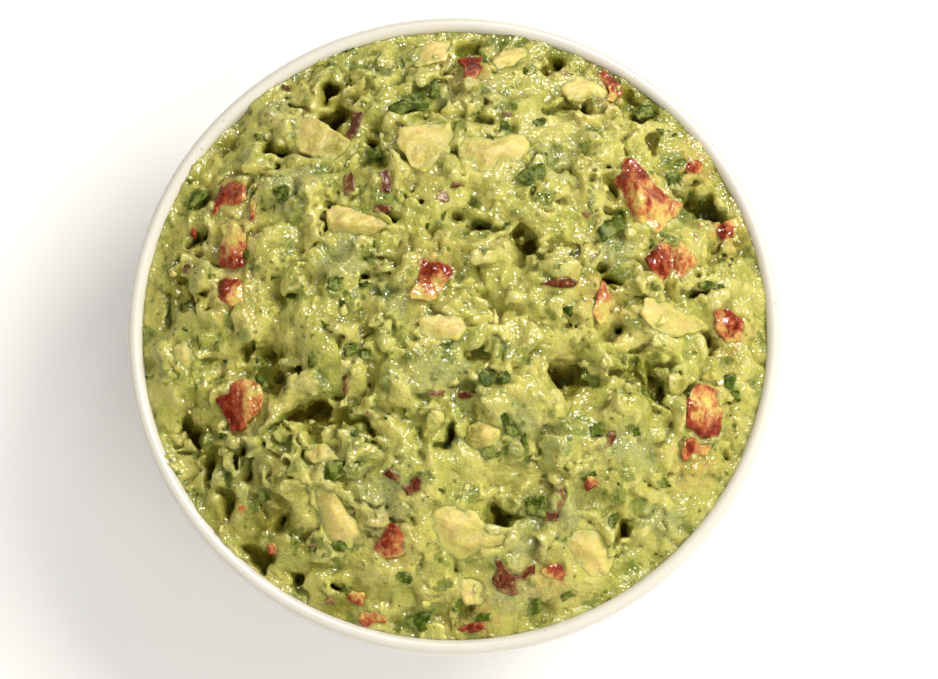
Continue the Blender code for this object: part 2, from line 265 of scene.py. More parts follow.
        (46.3, -14.4), (48.0, -13.0), (50.0, -13.4), (52.1, -14.4), (52.4, -16.2), (52.9, -19.3),
        (52.0, -22.7), (48.6, -23.6), (45.3, -21.3), (45.6, -17.1),
    ], [(49.4, -18.4, 1.0)]),
    "tomato_dice_16": (0.4, 0.0, [
        (44.7, -24.2), (46.2, -23.4), (48.2, -24.6), (50.9, -24.3), (49.6, -26.6), (46.6, -26.8),
        (45.2, -28.2), (44.2, -27.0),
    ], [(47.0, -25.4, 0.7)]),
    "tomato_dice_17": (0.46, -120.0, [
        (16.8, -49.8), (19.2, -48.4), (20.8, -48.7), (21.9, -51.0), (21.7, -52.6), (19.8, -51.4),
        (17.8, -50.8),
    ], [(20.0, -50.0, 0.5)]),
    "tomato_dice_18": (0.0, 90.0, [
        (0.2, -60.6), (2.6, -59.6), (5.8, -59.0), (6.4, -60.6), (3.0, -61.2),
    ], [(3.6, -60.2, 0.6)]),
}
CUT_TAPER = 0.85
BEDDING = 1.7
BIT_BEDDING = 1.0
BIT_CORNERS = 12

# Patches of the mash that differ in colour: x, y, half length, half width, turn in degrees.
CREAM_PATCHES = [
    (10.0, -3.0, 3.0, 2.6, 0.0),
    (26.3, -29.0, 3.0, 2.0, 35.0),
    (57.8, -10.4, 2.4, 2.6, 0.0),
    (38.2, 39.5, 3.0, 2.2, 0.0),
    (16.4, -7.6, 9.0, 4.6, -50.0),
    (-3.0, -2.5, 5.0, 2.6, 0.0),
    (36.0, -4.0, 6.0, 3.0, 5.0),
    (13.0, 34.0, 5.0, 3.0, 0.0),
    (-8.0, 33.0, 4.0, 4.0, 0.0),
    (6.0, 12.0, 4.0, 4.5, 10.0),
    (-23.0, -39.0, 5.0, 8.0, 20.0),
    (-30.0, -11.0, 2.6, 6.0, 0.0),
    (6.0, -29.0, 5.0, 3.0, 0.0),
    (16.0, 16.0, 3.0, 4.0, 0.0),
]
WET_PATCHES = [
    (-2.0, -13.5, 9.0, 5.0, 0.0),
    (14.0, -22.0, 8.0, 4.0, -20.0),
    (33.0, -26.0, 7.0, 5.0, 0.0),
    (-22.0, 10.0, 7.0, 6.0, 30.0),
    (-33.0, 26.0, 6.0, 7.0, 0.0),
    (-13.0, 3.0, 5.0, 4.0, 0.0),
    (22.0, 32.0, 4.0, 8.0, -20.0),
    (30.0, 12.0, 5.0, 5.0, 0.0),
    (46.0, 25.0, 4.0, 5.0, 0.0),
    (-40.0, -30.0, 5.0, 8.0, 20.0),
    (-20.0, -30.0, 6.0, 4.0, 0.0),
    (13.0, -44.0, 6.0, 5.0, 0.0),
    (-35.0, 46.0, 6.0, 4.0, 30.0),
    (42.0, -40.0, 5.0, 5.0, 0.0),
    (2.0, 47.0, 8.0, 4.0, 0.0),
    (20.0, -38.0, 7.0, 7.0, 0.0),
    (-13.0, -37.0, 6.0, 8.0, 0.0),
    (12.0, -54.0, 10.0, 4.0, 0.0),
]

# Broad hollows, where shade is painted into the mash's colour.
SHADE_PATCHES = [
    (-36.0, -40.0, 7.0, 10.0, 35.0),
    (-27.0, -19.4, 10.0, 3.0, -2.0),
    (-50.0, -22.0, 3.0, 10.0, 20.0),
    (-36.0, -11.0, 3.0, 7.0, 0.0),
    (-20.0, -55.0, 7.0, 4.0, 10.0),
    (-56.0, 8.0, 3.0, 12.0, 0.0),
    (50.0, 24.0, 6.0, 4.0, -25.0),
    (33.0, 22.0, 3.0, 6.0, 0.0),
    (3.0, 58.0, 4.0, 3.0, 0.0),
    (-25.0, 46.0, 4.0, 6.0, 20.0),
    (-15.0, 29.0, 3.0, 6.0, 20.0),
    (23.4, -13.4, 3.6, 4.0, 0.0),
    (36.0, -13.0, 3.0, 5.0, 0.0),
    (30.0, 7.0, 4.0, 3.0, 0.0),
    (20.0, 54.0, 3.0, 4.0, 0.0),
    (-22.4, -31.8, 3.0, 3.0, 0.0),
    (44.0, -48.0, 8.0, 3.0, 40.0),
    (-44.5, -37.0, 4.0, 5.0, 0.0),
    (-33.0, -41.0, 3.0, 3.4, 0.0),
    (-40.0, -46.0, 4.0, 3.4, 0.0),
    (-36.5, 36.0, 4.0, 2.0, -25.0),
    (-46.0, 38.0, 3.0, 3.0, 0.0),
    (33.0, 50.0, 8.0, 4.0, -35.0),
]

# Where the mash is smoothed out.
SMOOTH_PATCHES = [
    (-2.0, -13.0, 10.0, 5.0, 0.0),
    (14.0, -23.0, 9.0, 5.0, -20.0),
    (33.0, -27.0, 9.0, 5.0, 10.0),
    (3.0, -31.0, 8.0, 5.0, 0.0),
    (19.0, -3.0, 7.0, 5.0, -50.0),
    (42.0, -4.0, 9.0, 4.0, 0.0),
    (-30.0, 27.0, 4.0, 7.0, 0.0),
    (17.0, 47.0, 4.0, 8.0, 0.0),
    (-26.0, -34.0, 5.0, 5.0, 0.0),
    (8.0, -47.0, 15.0, 8.0, 0.0),
    (-10.0, -44.0, 7.0, 7.0, 0.0),
    (22.0, -41.0, 5.0, 5.0, 20.0),
]

# Coriander leaves and slivers of green chilli: x, y, length, width, turn in degrees.
LEAVES = [
    (-8.6, 44.3, 8.0, 4.6, 10.0),
    (-4.1, 47.5, 3.5, 1.5, 85.0),
    (-14.6, 52.0, 3.0, 2.0, 0.0),
    (-16.2, 32.7, 4.0, 3.6, 0.0),
    (-34.3, 24.2, 2.5, 3.0, 0.0),
    (-23.0, 5.6, 3.0, 2.0, 10.0),
    (-41.9, 12.6, 3.0, 2.0, 0.0),
    (-52.0, 26.6, 4.0, 3.0, 30.0),
    (10.0, 38.7, 2.0, 3.0, 0.0),
    (17.0, 40.2, 2.4, 1.6, 20.0),
    (42.3, 16.3, 3.0, 1.4, -25.0),
    (15.3, 28.0, 5.0, 4.0, 40.0),
    (30.8, 17.0, 5.5, 3.6, 30.0),
    (44.3, 29.7, 2.5, 4.0, 0.0),
    (50.4, 6.9, 3.0, 1.4, 10.0),
    (39.8, 5.3, 2.0, 1.2, 0.0),
    (38.6, 44.4, 4.0, 2.6, 30.0),
    (-1.2, -7.8, 3.0, 2.3, 0.0),
    (-19.9, -8.0, 3.0, 2.2, 0.0),
    (-17.0, -9.0, 2.0, 2.4, 0.0),
    (-27.5, -10.2, 1.5, 2.5, 0.0),
    (-37.9, -12.5, 2.0, 2.5, 0.0),
    (-19.3, -24.0, 1.6, 1.4, 0.0),
    (-22.0, -45.0, 2.5, 2.0, 0.0),
    (-22.8, -31.7, 4.0, 3.4, 0.0),
    (-37.0, -35.0, 2.5, 2.0, 0.0),
    (-44.0, -32.0, 1.5, 3.0, 0.0),
    (-6.9, -59.0, 5.0, 3.0, 0.0),
    (6.6, -14.3, 2.6, 2.4, 0.0),
    (11.0, -23.0, 5.0, 2.0, -50.0),
    (13.8, -27.0, 5.0, 1.2, -80.0),
    (6.8, -28.0, 2.4, 1.8, 40.0),
    (34.9, -23.0, 2.5, 2.0, 0.0),
    (16.1, -37.8, 4.0, 3.6, 0.0),
    (30.8, -40.6, 1.5, 2.5, 0.0),
    (27.5, -23.5, 2.5, 3.0, 0.0),
    (55.7, -14.5, 1.6, 2.0, 0.0),
    (54.5, -11.7, 2.0, 3.0, 0.0),
    (41.0, -32.5, 2.5, 1.5, 0.0),
    (0.6, -56.4, 1.5, 3.0, 0.0),
    (15.3, -56.5, 3.0, 2.6, 0.0),
    (26.3, -32.0, 3.0, 1.5, 30.0),
    (-1.6, -52.4, 3.8, 2.0, 20.0),
    (-9.6, -51.0, 2.6, 1.8, -20.0),
    (5.6, -58.4, 2.8, 1.4, 10.0),
    (22.4, -54.0, 3.4, 1.2, 30.0),
    (9.4, -14.0, 2.2, 2.0, 30.0),
]

# Red onion and small tomato scraps: x, y, length, width, turn in degrees.
ONION = [
    (-20.8, 26.6, 5.4, 2.0, 92.0),
    (-13.8, 25.6, 4.6, 2.6, 96.0),
    (-14.0, 20.6, 4.6, 1.4, -8.0),
    (-2.1, 22.8, 3.0, 2.4, 0.0),
    (0.4, 25.2, 1.6, 1.0, 30.0),
    (-34.3, 50.3, 2.0, 1.0, 0.0),
    (-38.3, 43.7, 1.5, 0.8, 0.0),
    (-53.4, 10.6, 1.0, 2.0, 0.0),
    (-20.2, 39.9, 6.2, 2.2, 75.0),
    (20.4, 5.0, 5.5, 2.0, 4.0),
    (10.8, 41.5, 2.0, 1.0, 0.0),
    (22.3, 52.2, 1.2, 1.0, 0.0),
    (26.1, 20.0, 1.2, 0.8, -20.0),
    (48.2, 17.5, 1.6, 1.0, -30.0),
    (-20.8, -14.7, 3.0, 1.2, 80.0),
    (-13.6, -12.1, 2.0, 1.0, 80.0),
    (-3.6, -16.6, 3.4, 1.0, 0.0),
    (2.2, -17.0, 3.2, 0.9, 0.0),
    (-15.9, -21.0, 3.6, 1.2, -40.0),
    (-11.8, -32.0, 3.6, 1.6, -35.0),
    (-7.9, -34.2, 3.6, 2.4, 20.0),
    (-27.3, -44.7, 2.0, 1.2, 0.0),
    (-24.0, -55.0, 2.0, 1.4, 0.0),
    (30.2, -25.5, 3.5, 1.6, 80.0),
    (20.4, -37.0, 5.2, 1.8, 80.0),
    (18.8, -39.6, 3.0, 1.8, 10.0),
]
ONION_PATCH = [
    (7.8, -47.4), (9.0, -47.6), (10.2, -49.4), (11.6, -50.8), (12.6, -50.6), (13.6, -49.4), (15.6, -48.8),
    (15.8, -50.2), (14.2, -51.6), (12.2, -52.4), (12.4, -54.0), (10.6, -54.6), (8.2, -53.6), (7.2, -51.2),
    (8.4, -50.2),
]
TOMATO_SCRAPS = [
    (-40.2, 21.7, 5.0, 1.2, 82.0),
    (-41.4, -36.0, 5.0, 2.0, 85.0),
    (-35.5, -45.0, 2.4, 2.0, 0.0),
    (-15.9, -58.2, 6.0, 3.0, 10.0),
    (-19.1, -54.5, 3.0, 2.0, -20.0),
    (26.8, -33.3, 2.8, 2.2, 0.0),
    (-52.4, 18.8, 2.6, 1.8, 80.0),
    (51.0, 20.4, 4.0, 1.6, 10.0),
]

# ---------------------------------------------------------------- node trees as expressions


THREE_PARTS = ("VECTOR", "RGBA")


class Signal:
    """A node's output in an expression: each operator adds the node that it stands for."""

    def __init__(self, tree, socket):
        self.tree = tree
        self.socket = socket

    def math(self, operation, *values):
        """One Math or Vector Math node over this signal and others, in the order given."""
        if any(isinstance(value, Signal) and value.socket.type in THREE_PARTS for value in values):
            kind = "ShaderNodeVectorMath"
        else:
            kind = "ShaderNodeMath"
        return self.tree.make(kind, {"operation": operation}, dict(enumerate(values)))

    def __add__(self, other):
        return self.math("ADD", self, other)

    def __radd__(self, other):
        return self.math("ADD", other, self)

    def __sub__(self, other):
        return self.math("SUBTRACT", self, other)

    def __rsub__(self, other):
        return self.math("SUBTRACT", other, self)

    def __mul__(self, other):
        if self.socket.type in THREE_PARTS and not isinstance(other, tuple):
            settings = {"operation": "SCALE"}
            return self.tree.make("ShaderNodeVectorMath", settings, {0: self, "Scale": other})
        return self.math("MULTIPLY", self, other)

    __rmul__ = __mul__

    def __truediv__(self, other):
        return self.math("DIVIDE", self, other)

    def __pow__(self, other):
        return self.math("POWER", self, other)

    def least(self, other):
        return self.math("MINIMUM", self, other)

    def most(self, other):
        return self.math("MAXIMUM", self, other)

    def size(self):
        return self.math("ABSOLUTE", self)

    def root(self):
        return self.math("SQRT", self)

    def clamped(self):
        return self.tree.make("ShaderNodeClamp", {}, {0: self})

    def rising(self, low, high):
        """0 below low and 1 above high, with a smooth step between them."""
        settings = {"interpolation_type": "SMOOTHSTEP"}
        return self.tree.make(
            "ShaderNodeMapRange", settings, {"Value": self, "From Min": low, "From Max": high}
        )

    def parts(self):
        node = self.tree.node("ShaderNodeSeparateXYZ", {}, {0: self})
        return [Signal(self.tree, socket) for socket in node.outputs]


class Tree:
    """A node tree that is filled by calls and by expressions on Signals."""

    def __init__(self, node_tree):
        self.node_tree = node_tree

    def feed(self, socket, value):
        if isinstance(value, Signal):
            self.node_tree.links.new(value.socket, socket)
        elif isinstance(value, (int, float)) and hasattr(socket.default_value, "__len__"):
            socket.default_value = (value,) * len(socket.default_value)
        else:
            socket.default_value = value

    def node(self, kind, settings, values):
        """Adds one node: first its settings, which decide its sockets, and then their values."""
        node = self.node_tree.nodes.new(kind)
        for name, value in settings.items():
            setattr(node, name, value)
        for name, value in values.items():
            self.feed(node.inputs[name], value)
        return node

    def make(self, kind, settings=None, values=None, output=0):
        return Signal(self, self.node(kind, settings or {}, values or {}).outputs[output])

    def vector(self, x, y, z):
        return self.make("ShaderNodeCombineXYZ", {}, {0: x, 1: y, 2: z})

    def noise(self, place, size, detail=2.0, roughness=0.5, distortion=0.0, output=0):
        values = {
            "Vector": place,
            "Scale": 1.0 / size,
            "Detail": detail,
            "Roughness": roughness,
            "Distortion": distortion,
        }
        return self.make("ShaderNodeTexNoise", {"noise_dimensions": "3D"}, values, output)

    def drift(self, place, size, amount, detail=2.0):
        """A place pushed about by noise."""
        return place + (self.noise(place, size, detail, output=1) - (0.5, 0.5, 0.5)) * (2.0 * amount)

    def cells(self, place, size, feature="F1", output="Distance", smoothness=0.4):
        values = {"Vector": place, "Scale": 1.0 / size}
        if feature == "SMOOTH_F1":
            values["Smoothness"] = smoothness
        return self.make("ShaderNodeTexVoronoi", {"feature": feature}, values, output)

    def mix(self, share, first, second):
        """A colour between two others."""
        settings = {"data_type": "RGBA", "clamp_factor": True}
        node = self.node("ShaderNodeMix", settings, {0: share, 6: first, 7: second})
        return Signal(self, node.outputs[2])


def tone(red, green, blue):
    """A colour given as the eye reads it, from 0 to 255, turned into light."""
    parts = [value / 255.0 for value in (red, green, blue)]
    light = [part / 12.92 if part <= 0.04045 else ((part + 0.055) / 1.055) ** 2.4 for part in parts]
    return (*light, 1.0)


def folded(tree, place):
    """A place in millimetres as the mash's folds bend it, in the large and in the small."""
    bent = tree.drift(place, 9.0, 3.4)
    return bent, tree.drift(bent, 3.0, 1.1)


class Finish(Tree):
    """A material: a Principled shader whose sockets are set by name."""

    def __init__(self, name, **uniform):
        self.material = bpy.data.materials.new(name)
        self.material.use_nodes = True
        super().__init__(self.material.node_tree)
        self.shader = self.node_tree.nodes["Principled BSDF"]
        for socket, value in uniform.items():
            self.feed(self.shader.inputs[socket.replace("_", " ")], value)

    def place(self):
        """Object coordinates in millimetres."""
        return self.make("ShaderNodeTexCoord", output="Object") * (1.0 / MM)

    def attribute(self, name):
        return self.make("ShaderNodeAttribute", {"attribute_name": name}, {}, "Fac")

    def bump(self, height, depth):
        """The normal for a height from 0 to 1 that stands for a depth in metres."""
        values = {"Strength": 1.0, "Distance": depth, "Height": height}
        return self.make("ShaderNodeBump", {}, values)

    def wear(self, **varying):
        for socket, value in varying.items():
            self.feed(self.shader.inputs[socket.replace("_", " ")], value)
        return self.material


class Growth(Tree):
    """A Geometry Nodes tree with named inputs, which ends in plain geometry with one material."""

    def __init__(self, name):
        super().__init__(bpy.data.node_groups.new(name, "GeometryNodeTree"))
        self.node_tree.interface.new_socket("Geometry", in_out="INPUT", socket_type="NodeSocketGeometry")
        self.node_tree.interface.new_socket("Geometry", in_out="OUTPUT", socket_type="NodeSocketGeometry")
        self.entry = self.node_tree.nodes.new("NodeGroupInput")
        self.values = {}

    def input(self, name, value, kind="Float"):
        item = self.node_tree.interface.new_socket(name, in_out="INPUT", socket_type="NodeSocket" + kind)
        self.values[item.identifier] = value
        return Signal(self, self.entry.outputs[name])

    def start(self):
        return Signal(self, self.entry.outputs["Geometry"])

    def end(self, geometry, material):
        plain = self.make("GeometryNodeRealizeInstances", {}, {0: geometry})
        painted = self.make("GeometryNodeSetMaterial", {}, {"Geometry": plain, "Material": material})
        self.node("NodeGroupOutput", {}, {0: painted})

    def grow(self, name, base=None):
        """The plain mesh that the tree makes, as an object of its own."""
        seedling = placed(name + "_seedling", base or bpy.data.meshes.new(name + "_start"))
        modifier = seedling.modifiers.new("grow", "NODES")
        modifier.node_group = self.node_tree
        for identifier, value in self.values.items():
            modifier[identifier] = value
        seedling.update_tag()
        graph = bpy.context.evaluated_depsgraph_get()
        mesh = bpy.data.meshes.new_from_object(seedling.evaluated_get(graph))
        bpy.data.objects.remove(seedling)
        return placed(name, mesh)


def placed(name, mesh):
    mesh.name = name
    obj = bpy.data.objects.new(name, mesh)
    bpy.context.scene.collection.objects.link(obj)
    return obj


def applied(obj):
    """Makes what an object's modifiers show its own mesh."""
    graph = bpy.context.evaluated_depsgraph_get()
    mesh = bpy.data.meshes.new_from_object(obj.evaluated_get(graph))
    obj.modifiers.clear()
    obj.data = mesh
    return obj


def points_of(mesh):
    flat = np.empty(len(mesh.vertices) * 3)
    mesh.vertices.foreach_get("co", flat)
    return flat.reshape(-1, 3)


def paint(mesh, name, values):
    """Stores one number for each vertex, which a material can read by name."""
    layer = mesh.attributes.new(name, "FLOAT", "POINT")
    layer.data.foreach_set("value", np.asarray(values, dtype=np.float32))


def ellipse_share(x, y, spot):
    """How far places lie from a turned ellipse's middle: 1 on its edge."""
    middle_x, middle_y, half_length, half_width, turn = spot
    angle = math.radians(turn)
    along = (x - middle_x) * math.cos(angle) + (y - middle_y) * math.sin(angle)
    across = (y - middle_y) * math.cos(angle) - (x - middle_x) * math.sin(angle)
    return (along / half_length) ** 2 + (across / half_width) ** 2


def patches(x, y, spots):
    """1 inside any of the spots, falling to 0 round them."""
    total = np.zeros_like(x)
    for spot in spots:
        total = np.maximum(total, np.exp(-ellipse_share(x, y, spot)))
    return total


# ---------------------------------------------------------------- the heap's height


def surface_of(mesh):
    """A mesh as something that rays can be cast at."""
    return BVHTree.FromPolygons(
        [vert.co for vert in mesh.vertices], [face.vertices for face in mesh.polygons]
    )


def heights_of(name, steps):
    """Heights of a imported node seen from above, on a square grid, with -1 where there is none."""
    surface = surface_of(NODES[name].data)
    low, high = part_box(name)
    down = Vector((0.0, 0.0, -1.0))
    found = np.full((len(steps), len(steps)), -1.0)
    columns = np.flatnonzero((steps >= low.x) & (steps <= high.x))
    rows = np.flatnonzero((steps >= low.y) & (steps <= high.y))
    for row in rows:
        for column in columns:
            hit = surface.ray_cast(Vector((steps[column], steps[row], 1.0)), down)[0]
            if hit is not None:
                found[row, column] = hit.z
    return found


def around(values):
    """The mean of each grid place's four neighbours."""
    edged = np.pad(values, 1, mode="edge")
    return (edged[:-2, 1:-1] + edged[2:, 1:-1] + edged[1:-1, :-2] + edged[1:-1, 2:]) / 4.0


def filled(values, unknown, rounds):
    """Works out the unknown places from those round them, as heat would spread."""
    result = np.where(unknown, values[~unknown].mean(), values)
    for _ in range(rounds):
        result = np.where(unknown, around(result), result)
    return result


def softened(values, rounds):
    for _ in range(rounds):
        values = (values + 2.0 * around(values)) / 3.0
    return values


def ragged(x, y, size, amount):
    """Noise in millimetres for each place of a grid, which makes a plain outline uneven."""
    flat = [noise.noise(Vector((px, py, amount)) / size) for px, py in zip(x.ravel(), y.ravel())]
    return amount * np.array(flat).reshape(x.shape)


def lap(x, y, size, amount, least):
    """How far the mash laps over the edge of a cut piece, in millimetres: nowhere less than 0."""
    return least + np.maximum(ragged(x, y, size, amount), -least)


def outside_of(outline, x, y):
    """How far places lie outside an outline, in millimetres, and below 0 inside it."""
    nearest = np.full(x.shape, 1e9)
    inside = np.zeros(x.shape, dtype=bool)
    for (ax, ay), (bx, by) in zip(outline, outline[1:] + outline[:1]):
        along_x, along_y = bx - ax, by - ay
        share = ((x - ax) * along_x + (y - ay) * along_y) / (along_x**2 + along_y**2)
        share = np.clip(share, 0.0, 1.0)
        nearest = np.minimum(nearest, np.hypot(x - ax - share * along_x, y - ay - share * along_y))
        if ay != by:
            crosses = ((ay > y) != (by > y)) & (x < along_x * (y - ay) / along_y + ax)
            inside ^= crosses
    return np.where(inside, -nearest, nearest)


def bit_cut(spot, amount, way):
    """A small cut face of uneven, rather square outline, in the form of the cut faces in the table."""
    x, y, length, width, turn = spot
    angle = math.radians(turn)
    outline = []
    for step in range(BIT_CORNERS):
        along = math.cos(math.tau * step / BIT_CORNERS)
        across = math.sin(math.tau * step / BIT_CORNERS)
        uneven = 1.0 + 0.8 * noise.noise(Vector((along * 1.3, across * 1.3, x + y)))
        u = math.copysign(abs(along) ** 0.6, along) * length / 2.0 * uneven
        v = math.copysign(abs(across) ** 0.6, across) * width / 2.0 * uneven
        outline.append((x + u * math.cos(angle) - v * math.sin(angle), y + u * math.sin(angle) + v * math.cos(angle)))
    return amount, way, outline, []


def away_from(cuts, x, y):
    """How far places lie outside the nearest cut face, in millimetres, and below 0 under one."""
    nearest = np.full(x.shape, 1e9)
    for _, _, outline, _ in cuts:
        nearest = np.minimum(nearest, outside_of([point[:2] for point in outline], x, y))
    return nearest


ONION_CUTS = [bit_cut(spot, 0.2, None) for spot in ONION] + [(0.2, None, ONION_PATCH, [])]
SCRAP_CUTS = [bit_cut(spot, 0.42, 60.0) for spot in TOMATO_SCRAPS]
LEAF_CUTS = [bit_cut(spot, 0.2, 45.0) for spot in LEAVES]


def make_sheet():
    """The heap's top with the rooms of the cut pieces filled and with the torn holes pressed in."""
    reach = MOUTH_RADIUS + SHEET_MARGIN
    count = int(2.0 * reach / SHEET_STEP) + 1
    steps = np.linspace(-reach, reach, count)
    x, y = np.meshgrid(steps / MM, steps / MM)
    heap = heights_of("guacamole", steps)
    rooms = np.zeros_like(heap)
    for name in CHUNKS + DICE:
        low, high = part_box(name)
        across, along = np.abs(x * MM - (low.x + high.x) / 2.0), np.abs(y * MM - (low.y + high.y) / 2.0)
        rooms[(across < high.x - low.x) & (along < high.y - low.y) & (across * 2.0 < high.x - low.x + 2.0 * MM) & (along * 2.0 < high.y - low.y + 2.0 * MM)] = 1.0
    heap = softened(filled(heap, (heap < 0.0) | (rooms > 0.0), 400), 10)
    from_chunks = away_from([CUTS[name] for name in CHUNKS], x, y) + lap(x, y, 2.4, 2.8, 0.4)
    from_dice = away_from([CUTS[name] for name in DICE], x, y) + lap(x, y, 2.0, 2.0, 0.1)
    from_bits = away_from(ONION_CUTS + SCRAP_CUTS + LEAF_CUTS, x, y) + lap(x, y, 1.4, 0.8, 0.0)
    from_cuts = np.minimum(from_chunks, from_dice)
    calm = np.clip(0.6 - np.minimum(from_cuts, from_bits) / 1.4, 0.0, 1.0)
    sink = BEDDING * np.clip(-from_cuts / 0.8, 0.0, 1.0)
    sink = np.maximum(sink, BIT_BEDDING * np.clip(-from_bits / 0.5, 0.0, 1.0))
    ragged_x, ragged_y = ragged(x, y, 3.0, 2.6), ragged(y, x, 3.0, 2.6)
    for *spot, depth in HOLES:
        heap = heap - depth * MM * np.exp(-(ellipse_share(x + ragged_x, y + ragged_y, spot) ** 2))
    index = np.arange(count * count).reshape(count, count)
    corners = (index[:-1, :-1], index[:-1, 1:], index[1:, 1:], index[1:, :-1])
    mesh = bpy.data.meshes.new("sheet")
    mesh.from_pydata(
        np.stack([x * MM, y * MM, heap], axis=-1).reshape(-1, 3).tolist(),
        [],
        np.stack(corners, axis=-1).reshape(-1, 4).tolist(),
    )
    busy = (1.0 - 0.55 * patches(x, y, SMOOTH_PATCHES)) * (1.0 - 0.9 * calm)
    layer = mesh.attributes.new("rule", "FLOAT_VECTOR", "POINT")
    rule = np.stack([busy, 1.0 - 0.7 * calm, sink], axis=-1)
    layer.data.foreach_set("vector", rule.ravel().astype(np.float32))
    return placed("sheet", mesh)


# ---------------------------------------------------------------- the mash


def mash_growth(sheet, material):
    """Fills a volume up to the sheet, torn into lumps, folds and crumbs, and takes its skin."""
    tree = Growth("mash_relief")
    ground = tree.input("Ground", sheet, "Object")
    radius = tree.input("Radius", MOUTH_RADIUS + WALL_BITE)
    low = tree.input("Low", RIM_HEIGHT - VOLUME_DEPTH)
    high = tree.input("High", MASH_TOP.z + VOLUME_HEADROOM)
    voxel = tree.input("Voxel", VOXEL)
    place = tree.make("GeometryNodeInputPosition") * (1.0 / MM)
    bent, torn = folded(tree, place)
    x, y, z = place.parts()
    bent_x, bent_y, _ = (place + (torn - place) * 0.55).parts()
    sheet_mesh = tree.make("GeometryNodeObjectInfo", {}, {"Object": ground}, "Geometry")
    ray = {
        "Target Geometry": sheet_mesh,
        "Attribute": tree.make("GeometryNodeInputNamedAttribute", {"data_type": "FLOAT_VECTOR"}, {"Name": "rule"}),
        "Source Position": tree.vector(bent_x * MM, bent_y * MM, 1.0),
        "Ray Direction": (0.0, 0.0, -1.0),
        "Ray Length": 2.0,
    }
    hit = tree.node("GeometryNodeRaycast", {"data_type": "FLOAT_VECTOR"}, ray)
    ground_z = Signal(tree, hit.outputs["Hit Position"]).parts()[2] * (1.0 / MM)
    busy, loose, sink = Signal(tree, hit.outputs["Attribute"]).parts()
    swell = tree.noise(place, 16.0, 1.0) - 0.5
    lumps = 0.5 - tree.cells(torn, LUMP, "SMOOTH_F1", smoothness=0.2)
    knobs = 0.48 - tree.cells(torn, KNOB, "SMOOTH_F1", smoothness=0.25)
    grains = 0.46 - tree.cells(torn, 1.9, "SMOOTH_F1", smoothness=0.35)
    long_fold = 1.0 - (tree.noise(torn, LONG_FOLD, 1.0) - 0.5).size().rising(0.0, 0.045)
    short_fold = 1.0 - (tree.noise(torn + (9.0, 4.0, 2.0), SHORT_FOLD, 1.0) - 0.5).size().rising(0.0, 0.055)
    long_open = tree.noise(bent, 11.0, 1.0).rising(0.45, 0.58)
    short_open = tree.noise(bent + (3.0, 8.0, 5.0), 7.0, 1.0).rising(0.47, 0.58)
    torn_open = (long_fold * long_open * 2.8 + short_fold * short_open * 1.5) * busy
    gulfs = tree.noise(torn, 9.0, 1.0).rising(0.62, 0.70)
    coarse = swell * 4.0 + lumps * 4.4 * loose - gulfs * 3.0 * busy - torn_open
    relief = coarse + (knobs * 3.4 + grains * 1.35) * busy - sink + 0.9
    from_axis = (x * x + y * y).root()
    inside = radius * (1.0 / MM) - from_axis
    calm = inside.rising(-1.0, 9.0) * 0.75 + 0.25
    depth = ground_z + relief * calm - z
    density = (depth.least(inside) / (voxel * (3.0 / MM)) + 0.5).clamped()
    side = radius + voxel
    box = {
        "Density": density,
        "Min": tree.vector(side * -1.0, side * -1.0, low),
        "Max": tree.vector(side, side, high),
        "Resolution X": side * 2.0 / voxel,
        "Resolution Y": side * 2.0 / voxel,
        "Resolution Z": (high - low) / voxel,
    }
    volume = tree.make("GeometryNodeVolumeCube", {}, box)
    skin = tree.make(
        "GeometryNodeVolumeToMesh", {}, {"Volume": volume, "Threshold": 0.5, "Adaptivity": ADAPTIVITY}
    )
    settings = {"data_type": "FLOAT_VECTOR"}
    values = {"Value": tree.make("GeometryNodeInputPosition"), "Iterations": SMOOTHING}
    creamy = tree.make("GeometryNodeBlurAttribute", settings, values)
    skin = tree.make("GeometryNodeSetPosition", {}, {"Geometry": skin, "Position": creamy})
    underside = low + voxel * 0.6 - tree.make("GeometryNodeInputPosition").parts()[2]
    top = tree.make("GeometryNodeDeleteGeometry", {}, {"Geometry": skin, "Selection": underside})
    # How open the torn folds are, which the mash's colour reads to paint shade into them.
    values = {"Geometry": top, "Name": "gap", "Value": torn_open * (1.0 / 4.3)}
    top = tree.make("GeometryNodeStoreNamedAttribute", {"data_type": "FLOAT"}, values)
    tree.end(top, material)
    return tree


def drop_loose_parts(bm):
    """Keeps only the skin that hangs together with the outermost vertex."""
    start = max(bm.verts, key=lambda vert: vert.co.xy.length)
    kept, edge_of_kept = {start}, [start]
    while edge_of_kept:
        vert = edge_of_kept.pop()
        for edge in vert.link_edges:
            other = edge.other_vert(vert)
            if other not in kept:
                kept.add(other)
                edge_of_kept.append(other)
    bmesh.ops.delete(bm, geom=[vert for vert in bm.verts if vert not in kept], context="VERTS")


def make_mash(material):
    sheet = make_sheet()
    mash = mash_growth(sheet, material).grow("guacamole_mash")
    bpy.data.objects.remove(sheet)
    bm = bmesh.new()
    bm.from_mesh(mash.data)
    drop_loose_parts(bm)
    rim = [edge for edge in bm.edges if edge.is_boundary]
    bmesh.ops.holes_fill(bm, edges=rim, sides=len(rim))
    for vert in bm.verts:
        vert.co += vert.normal * (0.22 * MM * noise.fractal(vert.co / (1.5 * MM), 0.8, 2.0, 2))
    bm.to_mesh(mash.data)
    bm.free()
    mash.data.shade_smooth()
    paint_mash(mash.data)
    return mash


